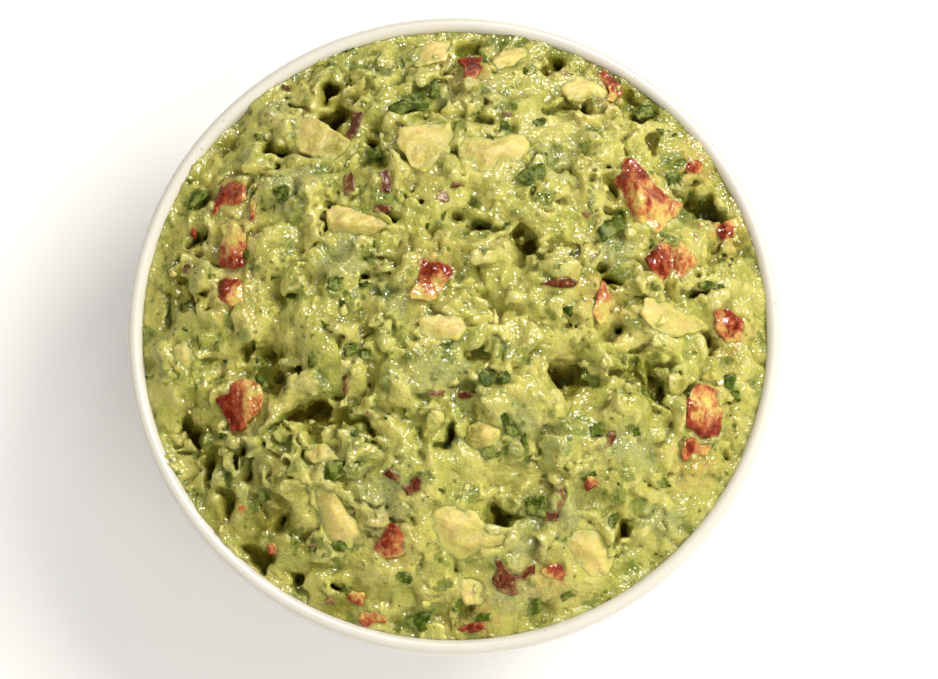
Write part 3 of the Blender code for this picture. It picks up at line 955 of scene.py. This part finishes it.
def creases_of(mesh, rounds):
    """How far each vertex lies, in millimetres, under the mean of those round it: below 0 on a ridge."""
    points = points_of(mesh) / MM
    normals = np.empty(len(mesh.vertices) * 3)
    mesh.vertices.foreach_get("normal", normals)
    ends = np.empty(len(mesh.edges) * 2, dtype=np.int64)
    mesh.edges.foreach_get("vertices", ends)
    here = np.concatenate([ends[::2], ends[1::2]])
    there = np.concatenate([ends[1::2], ends[::2]])
    links = np.bincount(here, minlength=len(points))[:, None]
    mean = points
    for _ in range(rounds):
        sums = [np.bincount(here, weights=mean[there, axis], minlength=len(points)) for axis in range(3)]
        mean = 0.5 * mean + 0.5 * np.stack(sums, axis=1) / links
    return ((mean - points) * normals.reshape(-1, 3)).sum(axis=1)


def paint_mash(mesh):
    """Stores how high each place stands over those round it and how deep it lies in a crease, which the mash's colour
    reads for painted shade and painted highlight, and the patches of other colour and of painted shade.
    """
    points = points_of(mesh) / MM
    paint(mesh, "crease", creases_of(mesh, 14))
    x, y, z = points.T
    cell, half = 1.0, 70
    columns = np.clip(((x + half) / cell).astype(int), 0, 2 * half - 1)
    rows = np.clip(((y + half) / cell).astype(int), 0, 2 * half - 1)
    highest = np.full((2 * half, 2 * half), -1.0)
    np.maximum.at(highest, (rows, columns), z)
    smooth = softened(filled(highest, highest < 0.0, 30), 10)
    paint(mesh, "stand", z - smooth[rows, columns])
    paint(mesh, "cream", patches(x, y, CREAM_PATCHES))
    paint(mesh, "wet", patches(x, y, WET_PATCHES))
    # Broad hollows, where the mash's colour gets painted shade.
    paint(mesh, "shade", patches(x, y, SHADE_PATCHES))
    tomatoes = [(*((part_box(name)[0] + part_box(name)[1]) / (2.0 * MM))[:2], 5.0, 5.0, 0.0) for name in DICE]
    paint(mesh, "juice", patches(x, y, tomatoes))
    leaves = [(px, py, length * 0.7, width * 0.7, turn) for px, py, length, width, turn in LEAVES]
    paint(mesh, "herb", patches(x, y, leaves))


# ---------------------------------------------------------------- cut pieces


def above_mash(surface, point):
    """How far a point lies out of the mash, in millimetres, and below 0 inside it."""
    near, normal, _, distance = surface.find_nearest(point)
    return math.copysign(distance, (point - near).dot(normal)) / MM


def bed_of(surface, outline):
    """The plane (height, slope along x, slope along y) of the mash round an outline, without its pits."""
    x_values, y_values = zip(*outline)
    x = np.arange(min(x_values) - 2.5, max(x_values) + 2.5, 0.7)
    y = np.arange(min(y_values) - 2.5, max(y_values) + 2.5, 0.7)
    x, y = [side.ravel() for side in np.meshgrid(x, y)]
    away = outside_of(outline, x, y)
    round_it = (away > 0.3) & (away < 2.4)
    places = []
    for px, py in zip(x[round_it], y[round_it]):
        hit = surface.ray_cast(Vector((px * MM, py * MM, 1.0)), Vector((0.0, 0.0, -1.0)))[0]
        if hit is not None:
            places.append((px, py, hit.z / MM))
    places = np.array(places)
    for _ in range(4):
        terms = np.column_stack([np.ones(len(places)), places[:, 0], places[:, 1]])
        plane = np.linalg.lstsq(terms, places[:, 2], rcond=None)[0]
        places = places[places[:, 2] - terms @ plane > -0.8]
    return plane


def cut_block(surface, outline, inner, proud, depth):
    """A piece with a faceted upper face on the mash's own slope, narrowing a little downwards."""
    border = [point[:2] for point in outline]
    height, slope_x, slope_y = bed_of(surface, border)
    points = [Vector(point[:2]) for point in outline + inner]
    rises = [point[2] if len(point) > 2 else 0.0 for point in outline + inner]
    ring = list(range(len(outline)))
    flat, _, faces, origins, _, _ = delaunay_2d_cdt(points, [], [ring], 1, 1e-4)
    middle = sum((Vector(point) for point in border), Vector((0.0, 0.0))) / len(border)
    bm = bmesh.new()
    top = []
    for place, origin in zip(flat, origins):
        z = height + slope_x * place.x + slope_y * place.y + proud + rises[origin[0]]
        top.append(bm.verts.new(Vector((place.x, place.y, z)) * MM))
    for face in faces:
        bm.faces.new([top[corner] for corner in face])
    foot = {}
    for edge in [edge for edge in bm.edges if edge.is_boundary]:
        for vert in edge.verts:
            if vert not in foot:
                inward = middle + (vert.co.xy / MM - middle) * CUT_TAPER
                z = height + slope_x * inward.x + slope_y * inward.y - depth
                foot[vert] = bm.verts.new(Vector((inward.x, inward.y, z)) * MM)
        first, second = edge.verts
        bm.faces.new([first, second, foot[second], foot[first]])
    rim = [edge for edge in bm.edges if edge.is_boundary]
    bmesh.ops.holes_fill(bm, edges=rim, sides=len(rim))
    bmesh.ops.recalc_face_normals(bm, faces=bm.faces)
    bmesh.ops.triangulate(bm, faces=bm.faces)
    return bm, middle


def smear_at(x, y, middle, reach, amount, way):
    """How green or smeared a place of a piece is: it grows one way, or towards the middle."""
    away_x, away_y = (x - middle.x) / reach, (y - middle.y) / reach
    if way is None:
        return amount + 0.5 - math.hypot(away_x, away_y)
    angle = math.radians(way)
    return amount + 0.5 * (away_x * math.cos(angle) + away_y * math.sin(angle))


def make_cut_pieces(name, cuts, material, surface, proud, depth, levels, softening, roughness):
    """Shapes, rounds and roughens the cut pieces of one kind, all in one mesh."""
    whole = bmesh.new()
    layers = {key: whole.verts.layers.float.new(key) for key in ("piece", "smear")}
    for index, (amount, way, outline, inner) in enumerate(cuts):
        part, middle = cut_block(surface, outline, inner, proud, depth)
        for _ in range(levels):
            bmesh.ops.subdivide_edges(part, edges=part.edges, cuts=1, use_grid_fill=True)
        reach = max(math.hypot(point[0] - middle.x, point[1] - middle.y) for point in outline)
        shade = random.Random(500 + index).random()
        copies = {}
        for vert in part.verts:
            copy = whole.verts.new(vert.co)
            copy[layers["piece"]] = shade
            copy[layers["smear"]] = smear_at(vert.co.x / MM, vert.co.y / MM, middle, reach, amount, way)
            copies[vert] = copy
        for face in part.faces:
            whole.faces.new([copies[vert] for vert in face.verts])
        part.free()
    mesh = bpy.data.meshes.new(name)
    whole.to_mesh(mesh)
    whole.free()
    pieces = placed(name, mesh)
    modifier = pieces.modifiers.new("soften", "SMOOTH")
    modifier.factor = 0.6
    modifier.iterations = softening
    applied(pieces)
    mesh = pieces.data
    points, normals = points_of(mesh), np.empty(len(mesh.vertices) * 3)
    mesh.vertices.foreach_get("normal", normals)
    push = []
    for point in points:
        broad = noise.noise(Vector(point) / (2.6 * MM))
        narrow = noise.fractal(Vector(point) / (1.3 * MM), 0.8, 2.0, 3)
        push.append(roughness * MM * (broad * 0.9 + narrow * 0.35))
    moved = points + normals.reshape(-1, 3) * np.array(push)[:, None]
    mesh.vertices.foreach_set("co", moved.ravel())
    mesh.update()
    paint(mesh, "stand", [above_mash(surface, vert.co) for vert in mesh.vertices])
    mesh.shade_smooth()
    mesh.materials.clear()
    mesh.materials.append(material)
    return pieces


# ---------------------------------------------------------------- small pieces on the mash


def scatter_growth(name, shape, material, density, smallest, largest, upright, sink, seed):
    """Strews turned and scaled copies of a shape over a surface."""
    tree = Growth(name)
    count = tree.input("Density", density)
    shape_socket = tree.input("Shape", shape, "Object")
    small = tree.input("Smallest", smallest)
    large = tree.input("Largest", largest)
    seed_socket = tree.input("Seed", seed, "Int")
    settings = {"distribute_method": "RANDOM"}
    place = tree.make("GeometryNodeInputPosition") * (1.0 / MM)
    crowd = tree.noise(place + (seed, 0.0, 0.0), 7.0, 2.0).rising(0.38, 0.66)
    values = {"Mesh": tree.start(), "Density": count * crowd, "Seed": seed_socket}
    scattered = tree.node("GeometryNodeDistributePointsOnFaces", settings, values)
    points = Signal(tree, scattered.outputs["Points"])
    turned = Signal(tree, scattered.outputs["Rotation"])
    spin = tree.make(
        "FunctionNodeRandomValue",
        {"data_type": "FLOAT_VECTOR"},
        {0: (-upright, -upright, 0.0), 1: (upright, upright, math.tau), "Seed": seed_socket},
    )
    turned = tree.make(
        "FunctionNodeRotateRotation",
        {"rotation_space": "LOCAL"},
        {"Rotation": turned, "Rotate By": spin},
    )
    scale = tree.make(
        "FunctionNodeRandomValue",
        {"data_type": "FLOAT"},
        {2: small, 3: large, "Seed": seed_socket + 7.0},
        1,
    )
    solid = tree.make("GeometryNodeObjectInfo", {}, {"Object": shape_socket}, "Geometry")
    lift = tree.make(
        "FunctionNodeRandomValue", {"data_type": "FLOAT"}, {2: -sink, 3: 0.0, "Seed": seed_socket + 3.0}, 1
    )
    normal = Signal(tree, scattered.outputs["Normal"])
    points = tree.make("GeometryNodeSetPosition", {}, {"Geometry": points, "Offset": normal * lift})
    copies = tree.make(
        "GeometryNodeInstanceOnPoints",
        {},
        {"Points": points, "Instance": solid, "Rotation": turned, "Scale": scale},
    )
    tree.end(copies, material)
    return tree


def lumpy_ball(name, size, seed, roughness):
    """A small uneven ball of 80 faces, one millimetre across before it is scaled to size."""
    bm = bmesh.new()
    bmesh.ops.create_icosphere(bm, subdivisions=2, radius=0.5 * MM)
    for vert in bm.verts:
        rough = 1.0 + roughness * noise.noise(vert.co / (0.42 * MM) + Vector((seed, 0.0, 0.0)))
        vert.co = Vector(part * side * rough for part, side in zip(vert.co, size))
    mesh = bpy.data.meshes.new(name)
    bm.to_mesh(mesh)
    bm.free()
    return placed(name, mesh)


def strew(name, grounds, shape, material, **settings):
    """One mesh of shapes strewn over each ground, given with how densely they lie on it."""
    whole = bmesh.new()
    for ground, density in grounds:
        tree = scatter_growth(name, shape, material, density=density, **settings)
        strewn = tree.grow(name, ground.data.copy())
        whole.from_mesh(strewn.data)
        bpy.data.objects.remove(strewn)
    bpy.data.objects.remove(shape)
    mesh = bpy.data.meshes.new(name)
    whole.to_mesh(mesh)
    whole.free()
    mesh.materials.append(material)
    mesh.shade_smooth()
    return placed(name, mesh)


# ---------------------------------------------------------------- the bowl


def wall_point(radius, depth, angle):
    """A point (radius, height) on an elliptic wall, with angle 0 at the rim and 90 degrees at the axis."""
    return radius * math.cos(angle), RIM_HEIGHT - depth * math.sin(angle)


def bowl_profile():
    """The bowl's section from the underside's middle, round the foot, wall and lip, to the middle inside."""
    outer_depth = RIM_HEIGHT - BASE_HEIGHT
    foot_angle = math.acos(FOOT_RADIUS / OUTER_RADIUS)
    soft = FOOT_SOFTNESS
    inner = FOOT_RADIUS - FOOT_WIDTH
    points = [(0.0, BASE_HEIGHT), (inner - soft, BASE_HEIGHT), (inner, BASE_HEIGHT - soft)]
    points += [(inner, soft), (inner + soft, 0.0), (FOOT_RADIUS - soft, 0.0), (FOOT_RADIUS, soft)]
    for step in range(WALL_STEPS + 1):
        points.append(wall_point(OUTER_RADIUS, outer_depth, foot_angle * (1.0 - step / WALL_STEPS)))
    lip_middle = MOUTH_RADIUS + WALL / 2.0
    for step in range(1, LIP_STEPS):
        angle = math.pi * step / LIP_STEPS
        lip = (lip_middle + WALL / 2.0 * math.cos(angle), RIM_HEIGHT + WALL / 2.0 * math.sin(angle))
        points.append(lip)
    for step in range(WALL_STEPS + 1):
        points.append(wall_point(MOUTH_RADIUS, outer_depth - FLOOR, math.pi / 2.0 * step / WALL_STEPS))
    return points


def make_bowl(material):
    bm = bmesh.new()
    verts = [bm.verts.new((radius, 0.0, height)) for radius, height in bowl_profile()]
    edges = [bm.edges.new(pair) for pair in zip(verts, verts[1:])]
    bmesh.ops.spin(
        bm,
        geom=verts + edges,
        cent=(0.0, 0.0, 0.0),
        axis=(0.0, 0.0, 1.0),
        angle=math.tau,
        steps=BOWL_SEGMENTS,
        use_merge=True,
    )
    bmesh.ops.remove_doubles(bm, verts=bm.verts, dist=0.005 * MM)
    bmesh.ops.recalc_face_normals(bm, faces=bm.faces)
    mesh = bpy.data.meshes.new("stoneware_bowl")
    bm.to_mesh(mesh)
    bm.free()
    mesh.materials.append(material)
    mesh.shade_smooth()
    return placed("stoneware_bowl", mesh)


# ---------------------------------------------------------------- finishes


def mash_finish():
    """Wet avocado mash: cream lumps, greyer wet patches and chopped herb all through, with painted shade, deep olive
    to near black, in the hollows, creases and torn folds, a painted highlight on ridges and tops, and painted glints.
    """
    finish = Finish(
        "avocado_mash",
        Subsurface_Weight=0.9,
        Subsurface_Radius=(3.2, 2.6, 0.7),
        Subsurface_Scale=MM,
        IOR=1.42,
    )
    place = finish.place()
    _, torn = folded(finish, place)
    stand = finish.attribute("stand")
    crease = finish.attribute("crease")
    fine = finish.noise(torn, 1.3, 3.0, 0.6)
    blotch = finish.noise(torn, 6.0, 3.0, 0.6)
    knob_hue = finish.cells(torn, KNOB, output="Color").parts()[0]
    lump_hue = finish.cells(torn, LUMP, output="Color").parts()[1]
    ripe = knob_hue * 0.45 + lump_hue * 0.35 + (blotch - 0.5) * 1.5 + finish.attribute("cream") * 0.5
    body = finish.mix((ripe + fine * 0.3).rising(0.15, 1.15), tone(172, 172, 84), tone(200, 191, 110))
    # Painted highlight: places that stand above those round them, and ridges, are lightened towards cream.
    painted_highlight = stand.rising(0.0, 2.0) * 0.36 + (0.0 - crease).rising(0.05, 0.6) * 0.3
    body = finish.mix(painted_highlight, body, tone(200, 193, 136))
    watery = finish.attribute("wet") * 0.8 + (0.5 - blotch) * 1.6 + (0.5 - knob_hue) * 0.5
    wet = (watery + (fine - 0.5) * 0.8).rising(0.2, 0.9)
    body = finish.mix(wet * 0.7, body, tone(158, 161, 108))
    body = finish.mix(finish.attribute("juice") * fine.rising(0.35, 0.7) * 0.6, body, tone(198, 136, 84))
    # Painted shade: places that lie below those round them, the broad shaded hollows, the torn folds and the creases
    # are darkened to deep olive.
    low = 1.0 - (stand + (fine - 0.5) * 1.2 - finish.attribute("shade") * 2.3).rising(-3.4, 0.0)
    low = low.most(finish.attribute("gap") * 0.8).most(crease.rising(0.1, 0.9) * 0.8)
    body = finish.mix(low * 0.84, body, tone(110, 104, 2))
    # Painted shade: the deepest hollows are darkened nearly to black-brown.
    body = finish.mix((0.0 - stand).rising(2.4, 4.4) * 0.9, body, tone(84, 62, 2))
    body = stained(finish, place, torn, fine, body)
    # Painted glints: small pale dots in clusters, more of them on the wet patches and none in the painted shade.
    glint_cells = finish.cells(finish.drift(place, 0.8, 0.3), 0.55)
    crowd = (finish.noise(torn, 2.6, 2.0).rising(0.4, 0.56) * 0.8 + wet * 0.4) * (1.0 - low)
    painted_glint = (1.0 - glint_cells.rising(0.08, 0.2)) * crowd
    body = finish.mix(painted_glint, body, tone(244, 240, 200))
    ripple = finish.noise(place, 0.8, 1.0, 0.5)
    rough = (0.18 - wet * 0.08 + (fine - 0.5) * 0.14).most(0.07)
    return finish.wear(Base_Color=body, Roughness=rough, Normal=finish.bump(ripple, 0.5 * MM))


def stained(finish, place, torn, fine, body):
    """Herb in the mash: bruised leaf and specks."""
    crowd = finish.noise(place, 7.0, 2.0)
    bruise = finish.attribute("herb") * 0.75 + (fine - 0.5) * 1.3
    body = finish.mix(bruise.rising(0.3, 0.6) * 0.66, body, tone(78, 96, 34))
    smears = finish.cells(torn, 4.4) + (0.5 - crowd) * 1.4 + (fine - 0.5) * 0.7
    body = finish.mix((1.0 - smears.rising(0.08, 0.4)) * 0.6, body, tone(92, 112, 42))
    specks = finish.cells(finish.drift(place, 1.0, 0.6), 2.3) + (0.5 - crowd) * 0.8
    return finish.mix((1.0 - specks.rising(0.06, 0.24)) * 0.68, body, tone(78, 98, 30))


def flesh_finish():
    """Ripe avocado flesh: cream and butter yellow, greener towards the side that lay under the skin."""
    finish = Finish(
        "avocado_flesh",
        Subsurface_Weight=0.8,
        Subsurface_Radius=(2.4, 1.8, 0.6),
        Subsurface_Scale=MM,
        IOR=1.38,
    )
    place = finish.place()
    drifted = finish.drift(place, 3.0, 1.0)
    mottle = finish.noise(drifted, 5.0, 3.0, 0.55)
    fine = finish.noise(drifted, 0.9, 3.0, 0.6)
    green = finish.attribute("smear") + (mottle - 0.5) * 0.9 + (finish.attribute("piece") - 0.5) * 0.1
    body = finish.mix(green.rising(-0.1, 0.95), tone(232, 204, 132), tone(138, 136, 42))
    smear = (finish.noise(drifted, 3.4, 3.0, 0.6) + (fine - 0.5) * 0.7).rising(0.43, 0.62)
    body = finish.mix(smear * 0.8, body, tone(196, 190, 98))
    body = finish.mix((fine - 0.4).clamped() * 1.2, body, tone(212, 186, 104))
    lapped = 1.0 - (finish.attribute("stand") + (fine - 0.5) * 1.8).rising(-0.1, 1.1)
    body = finish.mix(lapped * 0.85, body, tone(190, 186, 96))
    # Pale specks about half a millimetre across.
    pale_specks = finish.noise(place, 0.5, 2.0)
    body = finish.mix((pale_specks - 0.5).clamped() * 1.2, body, tone(236, 220, 160))
    height = fine * 0.5 + finish.noise(place, 0.8, 1.0) * 0.5
    return finish.wear(Base_Color=body, Roughness=0.42 + fine * 0.2, Normal=finish.bump(height, 0.35 * MM))


def tomato_finish():
    """Cut tomato: wet red flesh with paler cores, under a film of mash that thickens to one side."""
    finish = Finish(
        "tomato_flesh",
        Subsurface_Weight=0.6,
        Subsurface_Radius=(2.0, 0.7, 0.4),
        Subsurface_Scale=MM,
        IOR=1.40,
    )
    place = finish.place()
    drifted = finish.drift(place, 2.2, 0.9)
    mottle = finish.noise(drifted, 2.4, 3.0, 0.6)
    fine = finish.noise(drifted, 0.8, 3.0, 0.6)
    body = finish.mix(mottle.rising(0.35, 0.7), tone(96, 30, 14), tone(142, 56, 34))
    lapped = 1.0 - (finish.attribute("stand") + (fine - 0.5) * 1.4).rising(-0.2, 0.9)
    streak = finish.noise(drifted * (1.0, 0.6, 1.0), 2.6, 3.0, 0.6)
    film = finish.attribute("smear") + (streak - 0.43) * 2.0 + (fine - 0.5) * 0.7
    film = film.most(lapped * 0.8)
    body = finish.mix(film.rising(0.1, 0.6), body, tone(168, 86, 54))
    body = finish.mix(film.rising(0.4, 0.9), body, tone(206, 164, 92))
    body = finish.mix(film.rising(0.7, 1.1), body, tone(204, 190, 102))
    height = mottle * 0.3 + finish.noise(place, 0.8, 1.0) * 0.7
    rough = 0.15 + film.rising(0.2, 0.9) * 0.1
    return finish.wear(Base_Color=body, Roughness=rough, Normal=finish.bump(height, 0.45 * MM))


def onion_finish():
    """Red onion: dark maroon skin side, paler between its veins, with a film of mash over its edges."""
    finish = Finish("red_onion", IOR=1.38)
    place = finish.place()
    drifted = finish.drift(place, 2.0, 0.8)
    streak = finish.noise(place * (1.0, 0.35, 1.0), 0.7, 3.0, 0.6)
    fine = finish.noise(drifted, 0.7, 3.0, 0.6)
    body = finish.mix(streak.rising(0.3, 0.7), tone(72, 26, 10), tone(114, 54, 28))
    film = (finish.noise(drifted, 1.8, 2.0) + (fine - 0.5) * 0.7).rising(0.5, 0.8)
    lapped = 1.0 - (finish.attribute("stand") + (fine - 0.5) * 1.0).rising(-0.1, 0.6)
    body = finish.mix(film.most(lapped) * 0.8, body, tone(174, 150, 88))
    return finish.wear(Base_Color=body, Roughness=0.26 + streak * 0.15, Normal=finish.bump(streak, 0.2 * MM))


def herb_finish():
    """Chopped coriander leaf, dark and wet, with a thin film of mash over parts of it."""
    finish = Finish("coriander_leaf", IOR=1.40, Specular_IOR_Level=0.15)
    place = finish.place()
    drifted = finish.drift(place, 1.4, 0.6)
    mottle = finish.noise(drifted, 1.8, 3.0, 0.6)
    fine = finish.noise(drifted, 0.6, 2.0, 0.6)
    body = finish.mix(mottle.rising(0.35, 0.7), tone(50, 66, 6), tone(88, 104, 22))
    film = (finish.noise(place, 2.2, 2.0) + (fine - 0.5) * 0.6).rising(0.44, 0.66)
    body = finish.mix(film * 0.66, body, tone(146, 152, 76))
    return finish.wear(Base_Color=body, Roughness=0.4 + mottle * 0.2, Normal=finish.bump(mottle, 0.2 * MM))


def crumb_finish():
    """Small lumps of paler mash."""
    finish = Finish(
        "mash_crumb",
        Subsurface_Weight=0.35,
        Subsurface_Radius=(2.0, 1.6, 0.5),
        Subsurface_Scale=MM,
        IOR=1.42,
    )
    place = finish.place()
    body = finish.mix(finish.noise(place, 3.0, 2.0).rising(0.35, 0.65), tone(182, 178, 90), tone(222, 208, 126))
    height = finish.noise(place, 0.5, 2.0)
    return finish.wear(Base_Color=body, Roughness=0.3 + height * 0.2, Normal=finish.bump(height, 0.15 * MM))


def stoneware_finish():
    """Off-white glaze with a faint speckle; the foot's underside is bare clay."""
    finish = Finish("glazed_stoneware", IOR=1.5, Coat_Roughness=0.08)
    place = finish.place()
    _, _, height = place.parts()
    pool = finish.noise(place, 22.0, 3.0)
    speck = 1.0 - finish.cells(place, 3.6).rising(0.05, 0.09)
    body = finish.mix(pool, tone(222, 217, 206), tone(210, 204, 192))
    body = finish.mix(speck * 0.5, body, tone(150, 136, 116))
    bare = 1.0 - height.rising(0.5, 1.1)
    body = finish.mix(bare, body, tone(190, 174, 150))
    orange_peel = finish.noise(place, 2.4, 1.0)
    return finish.wear(
        Base_Color=body,
        Roughness=0.24 + bare * 0.5,
        Coat_Weight=0.5 - bare * 0.5,
        Normal=finish.bump(orange_peel, 0.05 * MM),
    )


def floor_finish():
    finish = Finish("pale_floor")
    shade = finish.noise(finish.place(), 60.0, 2.0)
    body = finish.mix(shade, tone(250, 250, 249), tone(246, 246, 245))
    return finish.wear(Base_Color=body, Roughness=0.7)


# ---------------------------------------------------------------- floor, light and camera

ELEVATION = math.radians(77.0)
LENS = 90.0
SENSOR = 36.0
VIEW_WIDTH = 187.6 * MM
AIM = Vector((2.9 * MM, -2.6 * MM, RIM_HEIGHT))


def make_camera():
    data = bpy.data.cameras.new("camera")
    data.lens = LENS
    data.sensor_width = SENSOR
    camera = bpy.data.objects.new("camera", data)
    bpy.context.scene.collection.objects.link(camera)
    back = Vector((0.0, -math.cos(ELEVATION), math.sin(ELEVATION)))
    camera.location = AIM + back * (VIEW_WIDTH * LENS / SENSOR)
    camera.rotation_euler = (math.pi / 2.0 - ELEVATION, 0.0, 0.0)
    bpy.context.scene.camera = camera


def make_floor():
    bm = bmesh.new()
    bmesh.ops.create_grid(bm, x_segments=1, y_segments=1, size=1.5)
    mesh = bpy.data.meshes.new("floor")
    bm.to_mesh(mesh)
    bm.free()
    mesh.materials.append(floor_finish())
    placed("floor", mesh)


def make_lamp(name, azimuth, elevation, distance, size, watts, tint):
    data = bpy.data.lights.new(name, "AREA")
    data.shape = "DISK"
    data.size = size
    data.energy = watts
    data.color = tint
    lamp = bpy.data.objects.new(name, data)
    bpy.context.scene.collection.objects.link(lamp)
    flat = math.cos(math.radians(elevation))
    way = Vector(
        (
            math.cos(math.radians(azimuth)) * flat,
            math.sin(math.radians(azimuth)) * flat,
            math.sin(math.radians(elevation)),
        )
    )
    lamp.location = Vector((0.0, 0.0, RIM_HEIGHT)) + way * distance
    lamp.rotation_euler = (-way).to_track_quat("-Z", "Y").to_euler()
    return lamp


def make_sky():
    world = bpy.data.worlds.new("studio")
    world.use_nodes = True
    background = world.node_tree.nodes["Background"]
    background.inputs["Color"].default_value = (1.0, 0.98, 0.95, 1.0)
    background.inputs["Strength"].default_value = 0.56
    world.cycles_visibility.glossy = False
    bpy.context.scene.world = world
    bpy.context.scene.view_settings.view_transform = "Standard"


def ride(piece, slot, *nodes):
    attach(piece, BODY)
    if nodes:
        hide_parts(*nodes)


def main():
    mash = make_mash(mash_finish())
    ride(mash, "mash", "guacamole")
    surface = surface_of(mash.data)
    chunk_cuts = [CUTS[name] for name in CHUNKS]
    flesh = make_cut_pieces("avocado_chunks", chunk_cuts, flesh_finish(), surface, -0.25, 4.0, 3, 2, 0.7)
    ride(flesh, "avocado", *CHUNKS)
    tomato = tomato_finish()
    dice_cuts = [CUTS[name] for name in DICE]
    dice = make_cut_pieces("tomato_pieces", dice_cuts, tomato, surface, 0.35, 4.0, 3, 1, 0.7)
    ride(dice, "tomato", *DICE)
    scraps = make_cut_pieces("tomato_scraps", SCRAP_CUTS, tomato, surface, 0.5, 1.6, 2, 2, 0.5)
    ride(scraps, "tomato")
    onion = make_cut_pieces("red_onion_slivers", ONION_CUTS, onion_finish(), surface, 0.45, 1.4, 2, 1, 0.4)
    ride(onion, "mash")
    herb = herb_finish()
    leaves = make_cut_pieces("coriander_leaves", LEAF_CUTS, herb, surface, 0.4, 0.5, 2, 1, 0.7)
    ride(leaves, "mash")
    flake = lumpy_ball("flake", (1.7, 1.1, 0.3), 3.0, 1.5)
    flakes = strew(
        "coriander_flakes", [(mash, 24000.0)], flake, herb,
        smallest=0.35, largest=1.6, upright=0.4, sink=0.4 * MM, seed=5,
    )
    ride(flakes, "mash")
    crumb = lumpy_ball("crumb", (1.7, 1.2, 0.7), 8.0, 1.5)
    crumbs = strew(
        "mash_crumbs", [(mash, 8000.0), (flesh, 12000.0), (dice, 8000.0)], crumb, crumb_finish(),
        smallest=0.4, largest=1.5, upright=0.8, sink=0.6 * MM, seed=9,
    )
    ride(crumbs, "mash")
    bowl = make_bowl(stoneware_finish())
    ride(bowl, "stoneware", "bowl")
    for piece in (mash, flesh, dice, scraps, onion, leaves, flakes, crumbs, bowl):
        print(piece.name, len(piece.data.polygons), sum(len(p.vertices) - 2 for p in piece.data.polygons))
    make_floor()
    make_sky()
    make_lamp("key", 28.0, 47.0, 0.9, 0.5, 7.1, (1.0, 0.97, 0.9)).visible_glossy = False
    make_lamp("fill", -62.0, 50.0, 0.9, 0.6, 3.2, (1.0, 0.98, 0.92)).visible_glossy = False
    make_lamp("sparkle", 62.0, 55.0, 0.9, 0.165, 17.0, (1.0, 0.98, 0.92)).visible_diffuse = False
    make_camera()


main()
